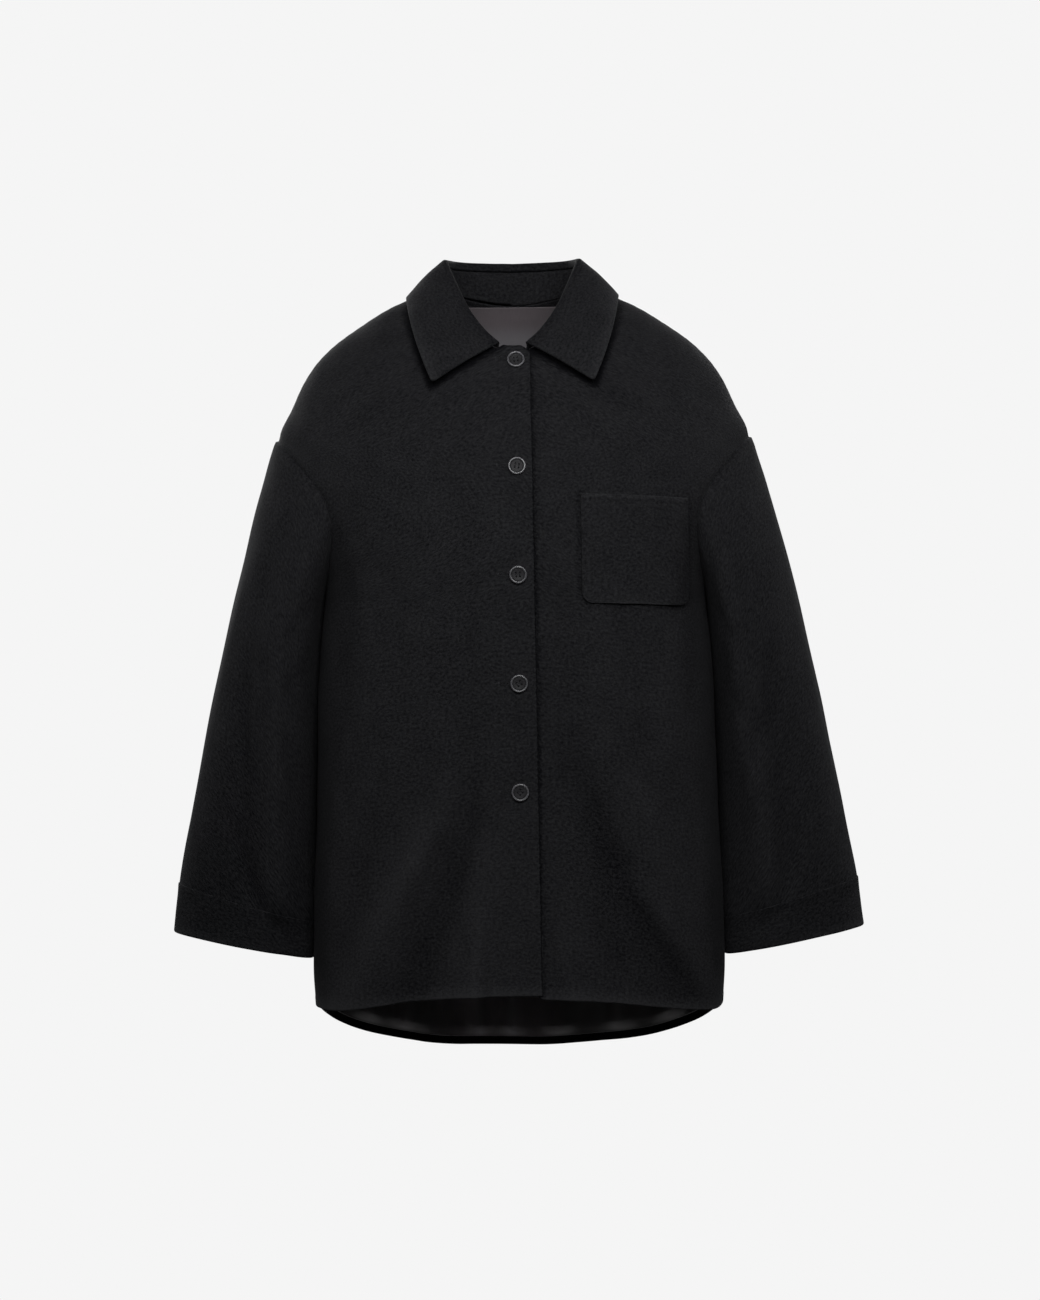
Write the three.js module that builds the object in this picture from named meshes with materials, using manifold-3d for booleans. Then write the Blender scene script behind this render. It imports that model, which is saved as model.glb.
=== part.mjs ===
// A wool jacket with a shirt collar, hollow, in the form it has when worn and buttoned.
// Millimetres, +Z up, the front faces -Y, and +X is the wearer's left.
// The origin lies on the centre line at the height of the shoulder points beside the neck.
import * as THREE from "three";
import { mergeVertices } from "three/addons/utils/BufferGeometryUtils.js";
import Module from "manifold-3d";

const wasm = await Module();
wasm.setup();

// Driving dimensions.
const CLOTH = 2.5; // thickness of the wool
const LINING = 1; // thickness of the lining
const SEAM_GAP = 0.3; // clearance between two pieces at a seam
const LAYER_GAP = 0.4; // clearance between two layers that lie on each other
const NECK_SEAM_GAP = 0.75; // clearance between the collar and the neck edge of the fronts and back
const SLEEVE_CLEARANCE = 1.4; // the sleeve hangs this far from the body
const SHOULDER_TIP = -155.3; // height of the seam between shoulder and sleeve
const UNDERARM = -325;
const NECK = { halfWidth: 78, front: 85, back: 68 }; // the neck seam, seen from above
const HEM = { front: -729, side: -748.5, back: -810, frontBend: 4, underFront: -4 };
const EDGE_PAST_CENTRE = { top: 17.5, bottom: 23.5, under: 18 }; // front edges, past the centre line
// Folds end beside the doubled front edges, the upper one rises over the under one, and its top corner dips.
const PLACKET = {
  columnsTo: 22,
  smoothTo: 26,
  fade: 22,
  riseTo: 24,
  riseFade: 60,
  cornerDip: 3,
  cornerFrom: 6,
  cornerWidth: 8,
};
const BUTTON = {
  count: 5,
  x: 3,
  first: -85,
  spacing: 109.6,
  diameter: 18,
  thickness: 3.4,
  bevel: 0.9,
  rim: 2.2,
  dish: 0.9,
  holeCircle: 5.4,
  holeDiameter: 1.8,
  sides: 16,
  gap: 0.4,
};
const POCKET = { left: 67, right: 176, top: -222.5, bottom: -333, cornerRadius: 11, slant: 0.035, gap: 0.8 };
const CUFF = { height: 52, thickness: 2.2, gap: 0.4 };
const LINING_ABOVE_HEM = 6;

// How finely the pieces are divided.
const ROWS = { sideSeam: 9, armhole: 11, shoulder: 5 };
const COLUMNS = { placket: 2, front: 9, halfBack: 9 };
const SLEEVE_STEPS = 16;
const CUFF_STEPS = 3;
const COLLAR_STEPS = { round: 18, stand: 3, roll: 5, leaf: 4 };
const POCKET_GRID = { columns: 8, straightRows: 5, cornerRows: [0, 0.12, 0.4, 1] }; // corners by shares
const FINE_STEPS = 48; // samples of a row or a loop before it is divided evenly

// Where the rows of the panels that start at the underarm and at the shoulder tip reach the centre line.
const ROW_CENTRES = { front: { underarm: -330, tip: -175 }, back: { underarm: -318, tip: -140 } };
const ROW_BEND = { body: 1.6, shoulder: 0.8, neck: 1.6 }; // how the rows curve on their way to the side

// The body's horizontal sections. Squareness 2 is an ellipse, and more is boxier.
const SECTIONS = [
  { z: 14, halfWidth: 38, front: 8, back: 42, squareness: 2 },
  { z: 0, halfWidth: 78, front: 24, back: 56, squareness: 2 },
  { z: -10, halfWidth: 105, front: 34, back: 66.5, squareness: 2 },
  { z: -20, halfWidth: 128, front: 44, back: 74, squareness: 2.03 },
  { z: -40, halfWidth: 160.5, front: 62, back: 86, squareness: 2.07 },
  { z: -60, halfWidth: 188, front: 77, back: 95, squareness: 2.1 },
  { z: -80, halfWidth: 207.5, front: 88, back: 102, squareness: 2.15 },
  { z: -100, halfWidth: 220.5, front: 98, back: 107, squareness: 2.2 },
  { z: -125, halfWidth: 232, front: 108, back: 113, squareness: 2.25 },
  { z: -155, halfWidth: 245.5, front: 117.5, back: 118, squareness: 2.3 },
  { z: -175, halfWidth: 247, front: 123, back: 121, squareness: 2.34 },
  { z: -200, halfWidth: 240, front: 129, back: 123, squareness: 2.4 },
  { z: -235, halfWidth: 222, front: 135, back: 125, squareness: 2.48 },
  { z: -265, halfWidth: 208, front: 139, back: 126, squareness: 2.55 },
  { z: -285, halfWidth: 203, front: 141, back: 126.5, squareness: 2.58 },
  { z: -305, halfWidth: 200, front: 142, back: 127, squareness: 2.6 },
  { z: -325, halfWidth: 199.5, front: 142.5, back: 127, squareness: 2.62 },
  { z: -370, halfWidth: 203.5, front: 143, back: 127, squareness: 2.66 },
  { z: -432, halfWidth: 207, front: 143, back: 127.5, squareness: 2.7 },
  { z: -540, halfWidth: 210, front: 143, back: 129, squareness: 2.7 },
  { z: -645, halfWidth: 213.3, front: 144, back: 133, squareness: 2.65 },
  { z: -710, halfWidth: 214, front: 145, back: 137, squareness: 2.6 },
  { z: -750, halfWidth: 212.6, front: 146, back: 139, squareness: 2.6 },
  { z: -830, halfWidth: 207, front: 148, back: 143, squareness: 2.6 },
];

// How far from the centre the armhole seam runs, on the front and on the back.
const ARMHOLE = [
  { z: -158, front: 243.2, back: 243.8 },
  { z: -165, front: 237.5, back: 239 },
  { z: -175, front: 230, back: 232.5 },
  { z: -190, front: 218, back: 222 },
  { z: -204, front: 206.5, back: 212 },
  { z: -220, front: 197, back: 204 },
  { z: -235, front: 190.5, back: 198.5 },
  { z: -250, front: 187.5, back: 195 },
  { z: -265, front: 188, back: 194 },
  { z: -285, front: 191.5, back: 195 },
  { z: -305, front: 195.5, back: 197 },
  { z: -317, front: 198.2, back: 198.6 },
];

// The sleeve's rings, from the shoulder to the wrist: the outer and the inner point of each.
const SLEEVE_RINGS = [
  { outerX: 245.7, outerZ: -155.3, innerX: 199.5, innerZ: -325, halfDepth: 87, midY: 0, own: 0 },
  { outerX: 250, outerZ: -167, innerX: 201.5, innerZ: -331, halfDepth: 88, midY: 0, own: 0.1 },
  { outerX: 257.5, outerZ: -192, innerX: 203.5, innerZ: -348, halfDepth: 89, midY: 0, own: 0.32 },
  { outerX: 268, outerZ: -228, innerX: 205.5, innerZ: -376, halfDepth: 89, midY: -1, own: 0.6 },
  { outerX: 280.5, outerZ: -277, innerX: 207.5, innerZ: -412, halfDepth: 86, midY: -2, own: 0.86 },
  { outerX: 294.5, outerZ: -334, innerX: 209.7, innerZ: -452, halfDepth: 82, midY: -3, own: 1 },
  { outerX: 307.5, outerZ: -392, innerX: 211.2, innerZ: -495, halfDepth: 76, midY: -4, own: 1 },
  { outerX: 319.5, outerZ: -450, innerX: 212.6, innerZ: -538, halfDepth: 69, midY: -6, own: 1 },
  { outerX: 331, outerZ: -508, innerX: 213.8, innerZ: -580, halfDepth: 61, midY: -8, own: 1 },
  { outerX: 341.5, outerZ: -563, innerX: 215, innerZ: -622, halfDepth: 53, midY: -11, own: 1 },
  { outerX: 350.6, outerZ: -614, innerX: 216.2, innerZ: -657, halfDepth: 45, midY: -14, own: 1 },
  { outerX: 354, outerZ: -639, innerX: 217.5, innerZ: -674, halfDepth: 41.5, midY: -15, own: 1 },
  { outerX: 358, outerZ: -671, innerX: 218.2, innerZ: -698.5, halfDepth: 37.5, midY: -16, own: 1 },
];

// Soft folds on the front: a line between two points, seen from the front. A trough's height is negative.
const FRONT_FOLDS = [
  { fromX: -30, fromZ: -480, toX: -112, toZ: -735, width: 19, height: -8 },
  { fromX: 26, fromZ: -462, toX: 90, toZ: -580, width: 17, height: -5 },
  { fromX: 84, fromZ: -575, toX: 160, toZ: -735, width: 18, height: -6.5 },
  { fromX: -72, fromZ: -520, toX: -162, toZ: -715, width: 21, height: 6 },
  { fromX: -22, fromZ: -590, toX: -46, toZ: -740, width: 26, height: 6 },
  { fromX: 100, fromZ: -500, toX: 140, toZ: -650, width: 22, height: 4 },
  { fromX: 44, fromZ: -600, toX: 70, toZ: -740, width: 22, height: 4 },
];

// Folds widen along their line. They start a little before it, grow over a share of it and end past it.
const FOLD = { startWidth: 0.65, endWidth: 1.15, lead: 0.12, grow: 0.6, end: 1.15, shrink: 0.35 };
const SIDES_SMOOTH = { to: 0.12, over: 0.5 }; // folds fade towards the body's sides, by the sine of the angle

// Soft folds on the back, seen from the front, so that X keeps its sign.
const BACK_FOLDS = [
  { fromX: -128, fromZ: -300, toX: -140, toZ: -790, width: 22, height: 6 },
  { fromX: -84, fromZ: -380, toX: -88, toZ: -800, width: 20, height: -6 },
  { fromX: -34, fromZ: -330, toX: -30, toZ: -810, width: 26, height: 4.5 },
  { fromX: 24, fromZ: -470, toX: 28, toZ: -810, width: 20, height: -5 },
  { fromX: 78, fromZ: -320, toX: 86, toZ: -800, width: 22, height: 5.5 },
  { fromX: 132, fromZ: -420, toX: 138, toZ: -790, width: 18, height: -5 },
];

// Soft folds round the sleeve: turn is 0 at the outer side, 0.25 in front, 0.5 inside and 0.75 behind.
const SLEEVE_FOLDS = [
  { turn: 0.2, along: 0.5, turnWidth: 0.05, alongWidth: 0.16, height: -3 },
  { turn: 0.3, along: 0.78, turnWidth: 0.05, alongWidth: 0.2, height: 3 },
  { turn: 0.13, along: 0.7, turnWidth: 0.04, alongWidth: 0.16, height: 2.5 },
  { turn: 0.78, along: 0.5, turnWidth: 0.05, alongWidth: 0.14, height: -4 },
  { turn: 0.7, along: 0.7, turnWidth: 0.05, alongWidth: 0.16, height: 3 },
];

// The collar from the centre front (0) round the side (0.5) to the centre back (1).
// The roll is the fold along its top, and the edge is the rim of the turned-down part.
const COLLAR = [
  { turn: 0, rollX: 14, rollY: -90.5, rollZ: -64.5, edgeX: 83, edgeY: -106, edgeZ: -106 },
  { turn: 0.12, rollX: 28, rollY: -79.5, rollZ: -51, edgeX: 92.5, edgeY: -94, edgeZ: -82 },
  { turn: 0.25, rollX: 46.5, rollY: -58, rollZ: -25, edgeX: 101, edgeY: -72, edgeZ: -55 },
  { turn: 0.38, rollX: 60, rollY: -33, rollZ: 4, edgeX: 108.5, edgeY: -42, edgeZ: -28 },
  { turn: 0.5, rollX: 70.5, rollY: 0, rollZ: 30.5, edgeX: 112, edgeY: 0, edgeZ: -9.5 },
  { turn: 0.65, rollX: 64, rollY: 36, rollZ: 33, edgeX: 98, edgeY: 48, edgeZ: -14 },
  { turn: 0.82, rollX: 38, rollY: 61, rollZ: 33.5, edgeX: 56, edgeY: 74, edgeZ: -19 },
  { turn: 1, rollX: 0, rollY: 72, rollZ: 33.5, edgeX: 0, edgeY: 82, edgeZ: -22 },
];
const COLLAR_CLOTH = 3; // the turned-down part is two layers of wool, pressed
const ROLL_RADIUS = 3.6;
const FALL_INNER_LEG = 6; // the seam between stand and fall lies this far below the roll
const FALL_LEG_SHARE = 0.3; // and no more than this share of the collar's height
const LEAF_BOW = 2; // the leaf's middle stands out this far
const SEAM_EASE = 1.15; // how the collar's places round the neck spread along its seam

const COLOURS = { wool: 0x1b1b1d, lining: 0x3d393c, button: 0x151515 };
const wool = new THREE.MeshStandardMaterial({ color: COLOURS.wool, roughness: 0.95, metalness: 0 });
const satin = new THREE.MeshStandardMaterial({ color: COLOURS.lining, roughness: 0.45, metalness: 0 });
const horn = new THREE.MeshStandardMaterial({ color: COLOURS.button, roughness: 0.3, metalness: 0 });

const lerp = THREE.MathUtils.lerp;
const clamp = THREE.MathUtils.clamp;
const smooth = (x) => THREE.MathUtils.smoothstep(x, 0, 1);
const range = (count) => Array.from({ length: count }, (_, i) => i);

// Smooth interpolation in a table, along one column, that never overshoots its rows.
function tableCurve(rows, along, column) {
  const sorted = [...rows].sort((a, b) => a[along] - b[along]);
  const x = sorted.map((row) => row[along]);
  const y = sorted.map((row) => row[column]);
  const slope = x.slice(1).map((next, i) => (y[i + 1] - y[i]) / (next - x[i]));
  const tangent = x.map((_, i) => {
    if (i === 0) return slope[0];
    if (i === x.length - 1) return slope[i - 1];
    if (slope[i - 1] * slope[i] <= 0) return 0;
    return (2 * slope[i - 1] * slope[i]) / (slope[i - 1] + slope[i]);
  });
  return (at) => {
    const found = x.findIndex((value) => value > at);
    const i = clamp(found < 0 ? x.length - 2 : found - 1, 0, x.length - 2);
    const step = x[i + 1] - x[i];
    const t = clamp((at - x[i]) / step, 0, 1);
    const rise = 3 * t ** 2 - 2 * t ** 3;
    const level = lerp(y[i], y[i + 1], rise);
    return level + step * (tangent[i] * (t ** 3 - 2 * t ** 2 + t) + tangent[i + 1] * (t ** 3 - t ** 2));
  };
}

const halfWidth = tableCurve(SECTIONS, "z", "halfWidth");
const frontDepth = tableCurve(SECTIONS, "z", "front");
const backDepth = tableCurve(SECTIONS, "z", "back");
const squareness = tableCurve(SECTIONS, "z", "squareness");

// Height of the folds at a point, from a table of fold lines. The doubled front edges stay smooth.
function foldHeight(folds, x, z) {
  const stiff = folds === FRONT_FOLDS ? smooth((Math.abs(x) - PLACKET.smoothTo) / PLACKET.fade) : 1;
  const heights = folds.map((fold) => {
    const dx = fold.toX - fold.fromX;
    const dz = fold.toZ - fold.fromZ;
    const length = Math.hypot(dx, dz);
    const along = ((x - fold.fromX) * dx + (z - fold.fromZ) * dz) / length ** 2;
    const across = ((x - fold.fromX) * dz - (z - fold.fromZ) * dx) / length;
    const width = fold.width * lerp(FOLD.startWidth, FOLD.endWidth, clamp(along, 0, 1));
    const fade = smooth((along + FOLD.lead) / FOLD.grow) * (1 - smooth((along - FOLD.end) / FOLD.shrink));
    return fold.height * fade * Math.exp(-((across / width) ** 2));
  });
  return stiff * heights.reduce((sum, height) => sum + height, 0);
}

// A point of the body's outer surface. Angle 0 is the wearer's left, and a quarter turn is the centre front.
function bodyPoint(angle, z) {
  const power = 2 / squareness(z);
  const c = Math.cos(angle);
  const s = Math.sin(angle);
  const x = halfWidth(z) * Math.sign(c) * Math.abs(c) ** power;
  const depth = s >= 0 ? -frontDepth(z) : backDepth(z);
  const height = foldHeight(s >= 0 ? FRONT_FOLDS : BACK_FOLDS, x, z);
  const sides = smooth((Math.abs(s) - SIDES_SMOOTH.to) / SIDES_SMOOTH.over);
  return new THREE.Vector3(x, (depth + Math.sign(depth) * height * sides) * Math.abs(s) ** power, z);
}

const STEP = { angle: 0.02, z: 1.5 };
function bodyNormal(angle, z) {
  const round = bodyPoint(angle + STEP.angle, z).sub(bodyPoint(angle - STEP.angle, z));
  const up = bodyPoint(angle, z + STEP.z).sub(bodyPoint(angle, z - STEP.z));
  return up.cross(round).normalize();
}

// The angle at which the body's section at height z is at x, on the front or the back.
function angleAt(x, z, side) {
  const c = Math.sign(x) * Math.min(1, Math.abs(x) / halfWidth(z)) ** (squareness(z) / 2);
  return side * Math.acos(c);
}

const HALVINGS = 40; // steps of a search by halves

// The height at which the body's surface passes a point seen from above.
function heightAt(x, y) {
  const depth = y < 0 ? frontDepth : backDepth;
  let [low, high] = [-140, SECTIONS[0].z];
  for (const _ of range(HALVINGS)) {
    const z = (low + high) / 2;
    const n = squareness(z);
    const outside = (Math.abs(x) / halfWidth(z)) ** n + (Math.abs(y) / depth(z)) ** n > 1;
    [low, high] = outside ? [low, z] : [z, high];
  }
  return (low + high) / 2;
}

// The neck seam on the left half: turn 0 is the centre front, or the centre back, and 1 is the shoulder.
function neckPlace(turn, side) {
  const a = (turn * Math.PI) / 2;
  const x = NECK.halfWidth * Math.sin(a);
  const y = side > 0 ? -NECK.front * Math.cos(a) : NECK.back * Math.cos(a);
  const z = heightAt(x, y);
  return { angle: angleAt(x, z, side), z };
}

// The front hem rises late towards the centre, and the back hem falls evenly to it.
function hemHeight(angle) {
  const s = Math.sin(angle);
  return s >= 0 ? lerp(HEM.side, HEM.front, s ** HEM.frontBend) : lerp(HEM.side, HEM.back, -s);
}

// Divides a line of places evenly by the length it has on the body.
function divideEvenly(places, count) {
  const points = places.map((place) => bodyPoint(place.angle, place.z));
  const reach = [0];
  points.slice(1).forEach((point, i) => reach.push(reach[i] + point.distanceTo(points[i])));
  const total = reach[reach.length - 1];
  return range(count + 1).map((k) => {
    const target = (total * k) / count;
    const i = clamp(reach.findIndex((value) => value >= target - 1e-9), 1, reach.length - 1);
    const t = (target - reach[i - 1]) / (reach[i] - reach[i - 1] || 1);
    return {
      angle: lerp(places[i - 1].angle, places[i].angle, t),
      z: lerp(places[i - 1].z, places[i].z, t),
    };
  });
}

// The armhole seam on the left, from the underarm up to the shoulder tip.
function armholePlaces(side) {
  const x = tableCurve(
    [
      ...ARMHOLE.map((row) => ({ z: row.z, x: side > 0 ? row.front : row.back })),
      { z: SHOULDER_TIP, x: halfWidth(SHOULDER_TIP) },
      { z: UNDERARM, x: halfWidth(UNDERARM) },
    ],
    "z",
    "x",
  );
  const count = 4 * FINE_STEPS;
  const places = range(count + 1).map((i) => {
    const z = lerp(UNDERARM, SHOULDER_TIP, (1 - Math.cos((Math.PI * i) / count)) / 2);
    return { angle: angleAt(x(z), z, side), z };
  });
  return divideEvenly(places, ROWS.armhole);
}

// The rows of a half panel, from the hem to the neck. Side is 1 on the front and -1 on the back.
// A row starts at the panel's edge and ends on the side seam, the armhole or the shoulder seam.
function halfPanelRows(side, edgeX, columns, hemDrop = 0, neckDip = () => 0) {
  const armhole = armholePlaces(side);
  const neckTurn = (turn) => {
    const past = (-Math.asin(edgeX(0) / NECK.halfWidth) * 2) / Math.PI;
    const neck = neckPlace(lerp(past, 1, turn), side);
    const { x } = bodyPoint(neck.angle, neck.z);
    const z = neck.z - neckDip(x);
    return { angle: angleAt(x, z, side), z };
  };
  const neckCentre = neckTurn(0).z;
  const centreAt = side > 0 ? ROW_CENTRES.front : ROW_CENTRES.back;
  const straight = (centreZ, end) => (t) => {
    const from = angleAt(-edgeX(centreZ), centreZ, side);
    return { angle: lerp(from, end.angle, t), z: lerp(centreZ, end.z, t ** ROW_BEND.body) };
  };
  const underarmRow = straight(centreAt.underarm, armhole[0]);
  const rows = [];
  for (const j of range(ROWS.sideSeam)) {
    const share = j / ROWS.sideSeam;
    rows.push((t) => {
      const centreZ = lerp(side > 0 ? HEM.front : HEM.back, centreAt.underarm, share);
      const angle = lerp(angleAt(-edgeX(centreZ), centreZ, side), 0, t);
      return { angle, z: lerp(hemHeight(angle) + hemDrop, underarmRow(t).z, share) };
    });
  }
  for (const j of range(ROWS.armhole)) {
    const centreZ = lerp(centreAt.underarm, centreAt.tip, j / ROWS.armhole);
    rows.push(straight(centreZ, armhole[j]));
  }
  const straightNeck = straight(neckCentre, { angle: 0, z: 0 });
  for (const j of range(ROWS.shoulder)) {
    const share = j / ROWS.shoulder;
    const centreZ = lerp(centreAt.tip, neckCentre, share);
    const plain = straight(centreZ, { angle: 0, z: lerp(SHOULDER_TIP, 0, share ** ROW_BEND.shoulder) });
    rows.push((t) => {
      const neck = neckTurn(t);
      const pull = share ** ROW_BEND.neck;
      return {
        angle: plain(t).angle + pull * (neck.angle - straightNeck(t).angle),
        z: plain(t).z + pull * (neck.z - straightNeck(t).z),
      };
    });
  }
  rows.push(neckTurn);
  return rows.map((row) => {
    const fine = range(FINE_STEPS + 1).map((i) => row(i / FINE_STEPS));
    if (side < 0) return divideEvenly(fine, columns);
    const split = fine.findIndex((place) => bodyPoint(place.angle, place.z).x >= PLACKET.columnsTo);
    return divideEvenly(fine.slice(0, split + 1), COLUMNS.placket).concat(
      divideEvenly(fine.slice(split), columns).slice(1),
    );
  });
}

// A grid of points on the body at a distance from its surface. Offset may be a function of the point.
function offsetGrid(places, offset) {
  return places.map((row) =>
    row.map(({ angle, z }) => {
      const point = bodyPoint(angle, z);
      const out = typeof offset === "function" ? offset(point) : offset;
      return point.addScaledVector(bodyNormal(angle, z), out);
    }),
  );
}

// Draws a grid's open borders in by a distance, so that two pieces keep a gap at their seam.
function drawIn(grid, distance) {
  const last = grid.length - 1;
  const end = grid[0].length - 1;
  const towards = (point, next) => next.clone().sub(point).setLength(distance);
  const moved = grid.map((row) => row.map((point) => point.clone()));
  grid[0].forEach((point, i) => moved[0][i].add(towards(point, grid[1][i])));
  grid[last].forEach((point, i) => moved[last][i].add(towards(point, grid[last - 1][i])));
  grid.forEach((row, j) => {
    moved[j][0].add(towards(row[0], row[1]));
    moved[j][end].add(towards(row[end], row[end - 1]));
  });
  return moved;
}

// A closed wall between two grids of the same size. The outer grid's rows go up and its columns go
// anticlockwise round +Z. A grid that is closed round joins its last column to its first.
function wall(outer, inner, closedRound = false) {
  const rows = outer.length;
  const columns = outer[0].length;
  const positions = [...outer.flat(), ...inner.flat()].flatMap((p) => [p.x, p.y, p.z]);
  const layer = rows * columns;
  const at = (j, i, inside) => inside * layer + j * columns + (i % columns);
  const faces = [];
  const quad = (a, b, c, d) => faces.push(a, b, c, a, c, d);
  const across = closedRound ? columns : columns - 1;
  for (const j of range(rows - 1)) {
    for (const i of range(across)) {
      quad(at(j, i, 0), at(j, i + 1, 0), at(j + 1, i + 1, 0), at(j + 1, i, 0));
      quad(at(j, i, 1), at(j + 1, i, 1), at(j + 1, i + 1, 1), at(j, i + 1, 1));
    }
  }
  for (const i of range(across)) {
    quad(at(0, i, 1), at(0, i + 1, 1), at(0, i + 1, 0), at(0, i, 0));
    quad(at(rows - 1, i, 0), at(rows - 1, i + 1, 0), at(rows - 1, i + 1, 1), at(rows - 1, i, 1));
  }
  if (!closedRound) {
    const end = columns - 1;
    for (const j of range(rows - 1)) {
      quad(at(j, 0, 0), at(j + 1, 0, 0), at(j + 1, 0, 1), at(j, 0, 1));
      quad(at(j, end, 1), at(j + 1, end, 1), at(j + 1, end, 0), at(j, end, 0));
    }
  }
  const geometry = new THREE.BufferGeometry();
  geometry.setAttribute("position", new THREE.Float32BufferAttribute(positions, 3));
  geometry.setIndex(faces);
  geometry.computeVertexNormals();
  return geometry;
}

const mirrorX = (grid) => grid.map((row) => row.map((p) => new THREE.Vector3(-p.x, p.y, p.z)).reverse());

const jacket = new THREE.Group();
function addPiece(name, geometry, material) {
  const mesh = new THREE.Mesh(geometry, material);
  mesh.name = name;
  jacket.add(mesh);
  return mesh;
}

// The front edge of the upper layer slants a little, and the under layer's is straight.
const upperEdge = (z) => lerp(EDGE_PAST_CENTRE.top, EDGE_PAST_CENTRE.bottom, clamp(z / HEM.front, 0, 1));
const underEdge = () => EDGE_PAST_CENTRE.under;

// How far the upper front stands off, to pass over the under one. Own X grows from the centre to its side.
const overlapRise = (ownX) =>
  (CLOTH + LAYER_GAP) * (1 - smooth((ownX - PLACKET.riseTo) / PLACKET.riseFade));

function addFronts() {
  const under = halfPanelRows(1, underEdge, COLUMNS.front, HEM.underFront);
  const underOuter = drawIn(offsetGrid(under, 0), SEAM_GAP / 2);
  const underInner = drawIn(offsetGrid(under, -CLOTH), SEAM_GAP / 2);
  addPiece("front_left", wall(underOuter, underInner), wool);
  const dip = (ownX) => PLACKET.cornerDip * smooth((-ownX - PLACKET.cornerFrom) / PLACKET.cornerWidth);
  const upper = halfPanelRows(1, upperEdge, COLUMNS.front, 0, dip).map((row) =>
    row.map(({ angle, z }) => ({ angle: Math.PI - angle, z })).reverse(),
  );
  const rise = (point) => overlapRise(-point.x);
  const upperOuter = drawIn(offsetGrid(upper, rise), SEAM_GAP / 2);
  const upperInner = drawIn(offsetGrid(upper, (point) => rise(point) - CLOTH), SEAM_GAP / 2);
  addPiece("front_right", wall(upperOuter, upperInner), wool);
}

// The back in one piece, from the wearer's left side round to the right.
function backRows(hemDrop = 0) {
  return halfPanelRows(-1, () => 0, COLUMNS.halfBack, hemDrop).map((row) => {
    const mirrored = row.map(({ angle, z }) => ({ angle: -Math.PI - angle, z }));
    return [...row].reverse().concat(mirrored.slice(1));
  });
}

function addBackAndLining() {
  const rows = backRows();
  const backOuter = drawIn(offsetGrid(rows, 0), SEAM_GAP / 2);
  const backInner = drawIn(offsetGrid(rows, -CLOTH), SEAM_GAP / 2);
  addPiece("back", wall(backOuter, backInner), wool);
  const liningRows = backRows(LINING_ABOVE_HEM);
  const face = -CLOTH - LAYER_GAP;
  const outer = drawIn(offsetGrid(liningRows, face), SEAM_GAP);
  const inner = drawIn(offsetGrid(liningRows, face - LINING), SEAM_GAP);
  addPiece("back_lining", wall(outer, inner), satin);
}

// The armhole seam as a closed loop. Turn 0 is the shoulder tip, 0.25 is in front and 0.5 is the underarm.
const ARMHOLE_SEAM = (() => {
  const front = armholePlaces(1).reverse();
  const back = armholePlaces(-1);
  return front.concat(back.slice(1, -1));
})();

function armholePlace(turn) {
  const count = ARMHOLE_SEAM.length;
  const at = (((turn % 1) + 1) % 1) * count;
  const i = Math.floor(at);
  const from = ARMHOLE_SEAM[i % count];
  const to = ARMHOLE_SEAM[(i + 1) % count];
  return { angle: lerp(from.angle, to.angle, at - i), z: lerp(from.z, to.z, at - i) };
}

// A ring plane of the sleeve: u runs from the inner point to the outer one, and w is square to the plane.
function ringFrame(along) {
  const value = (column) => SLEEVE_CURVES[column](along * (SLEEVE_RINGS.length - 1));
  const outer = new THREE.Vector3(value("outerX"), 0, value("outerZ"));
  const inner = new THREE.Vector3(value("innerX"), 0, value("innerZ"));
  const centre = outer.clone().add(inner).multiplyScalar(0.5).setY(value("midY"));
  const u = outer.clone().sub(inner).multiplyScalar(0.5);
  const w = new THREE.Vector3(0, 1, 0).cross(u).normalize();
  return { centre, u, w, halfDepth: value("halfDepth"), own: value("own") };
}

const SLEEVE_CURVES = Object.fromEntries(
  ["outerX", "outerZ", "innerX", "innerZ", "halfDepth", "midY", "own"].map((column) => [
    column,
    tableCurve(SLEEVE_RINGS.map((row, index) => ({ ...row, index })), "index", column),
  ]),
);

function sleevePoint(turn, along) {
  const start = ringFrame(0);
  const ring = ringFrame(along);
  const place = armholePlace(turn);
  const seam = bodyPoint(place.angle, place.z).sub(start.centre);
  const seamU = seam.dot(start.u) / start.u.lengthSq();
  const seamW = seam.dot(start.w);
  const a = turn * Math.PI * 2;
  const u = lerp(seamU, Math.cos(a), ring.own);
  const y = lerp(seam.y, -Math.sin(a) * ring.halfDepth, ring.own);
  const w = lerp(seamW, 0, ring.own);
  const point = ring.centre.clone().addScaledVector(ring.u, u).addScaledVector(ring.w, w);
  return point.setY(point.y + y);
}

function sleeveNormal(turn, along) {
  const step = { turn: 0.01, along: 0.01 };
  const round = sleevePoint(turn + step.turn, along).sub(sleevePoint(turn - step.turn, along));
  const low = Math.min(along + step.along, 1);
  const high = Math.max(along - step.along, 0);
  const down = sleevePoint(turn, low).sub(sleevePoint(turn, high));
  return round.cross(down).normalize();
}

function sleeveFold(turn, along) {
  return SLEEVE_FOLDS.reduce((sum, fold) => {
    const across = (turn - fold.turn) / fold.turnWidth;
    const down = (along - fold.along) / fold.alongWidth;
    return sum + fold.height * Math.exp(-(across ** 2) - down ** 2);
  }, 0);
}

// The armhole seam's own directions: out of the cloth, and away from the panel into the sleeve.
function seamFrame(turn) {
  const step = 0.5 / (2 * ROWS.armhole);
  const place = armholePlace(turn);
  const point = bodyPoint(place.angle, place.z);
  const [before, after] = [turn - step, turn + step].map((at) => {
    const near = armholePlace(at);
    return bodyPoint(near.angle, near.z);
  });
  const normal = bodyNormal(place.angle, place.z);
  const away = normal.clone().cross(after.sub(before)).normalize();
  return { point, normal, away };
}

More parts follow.
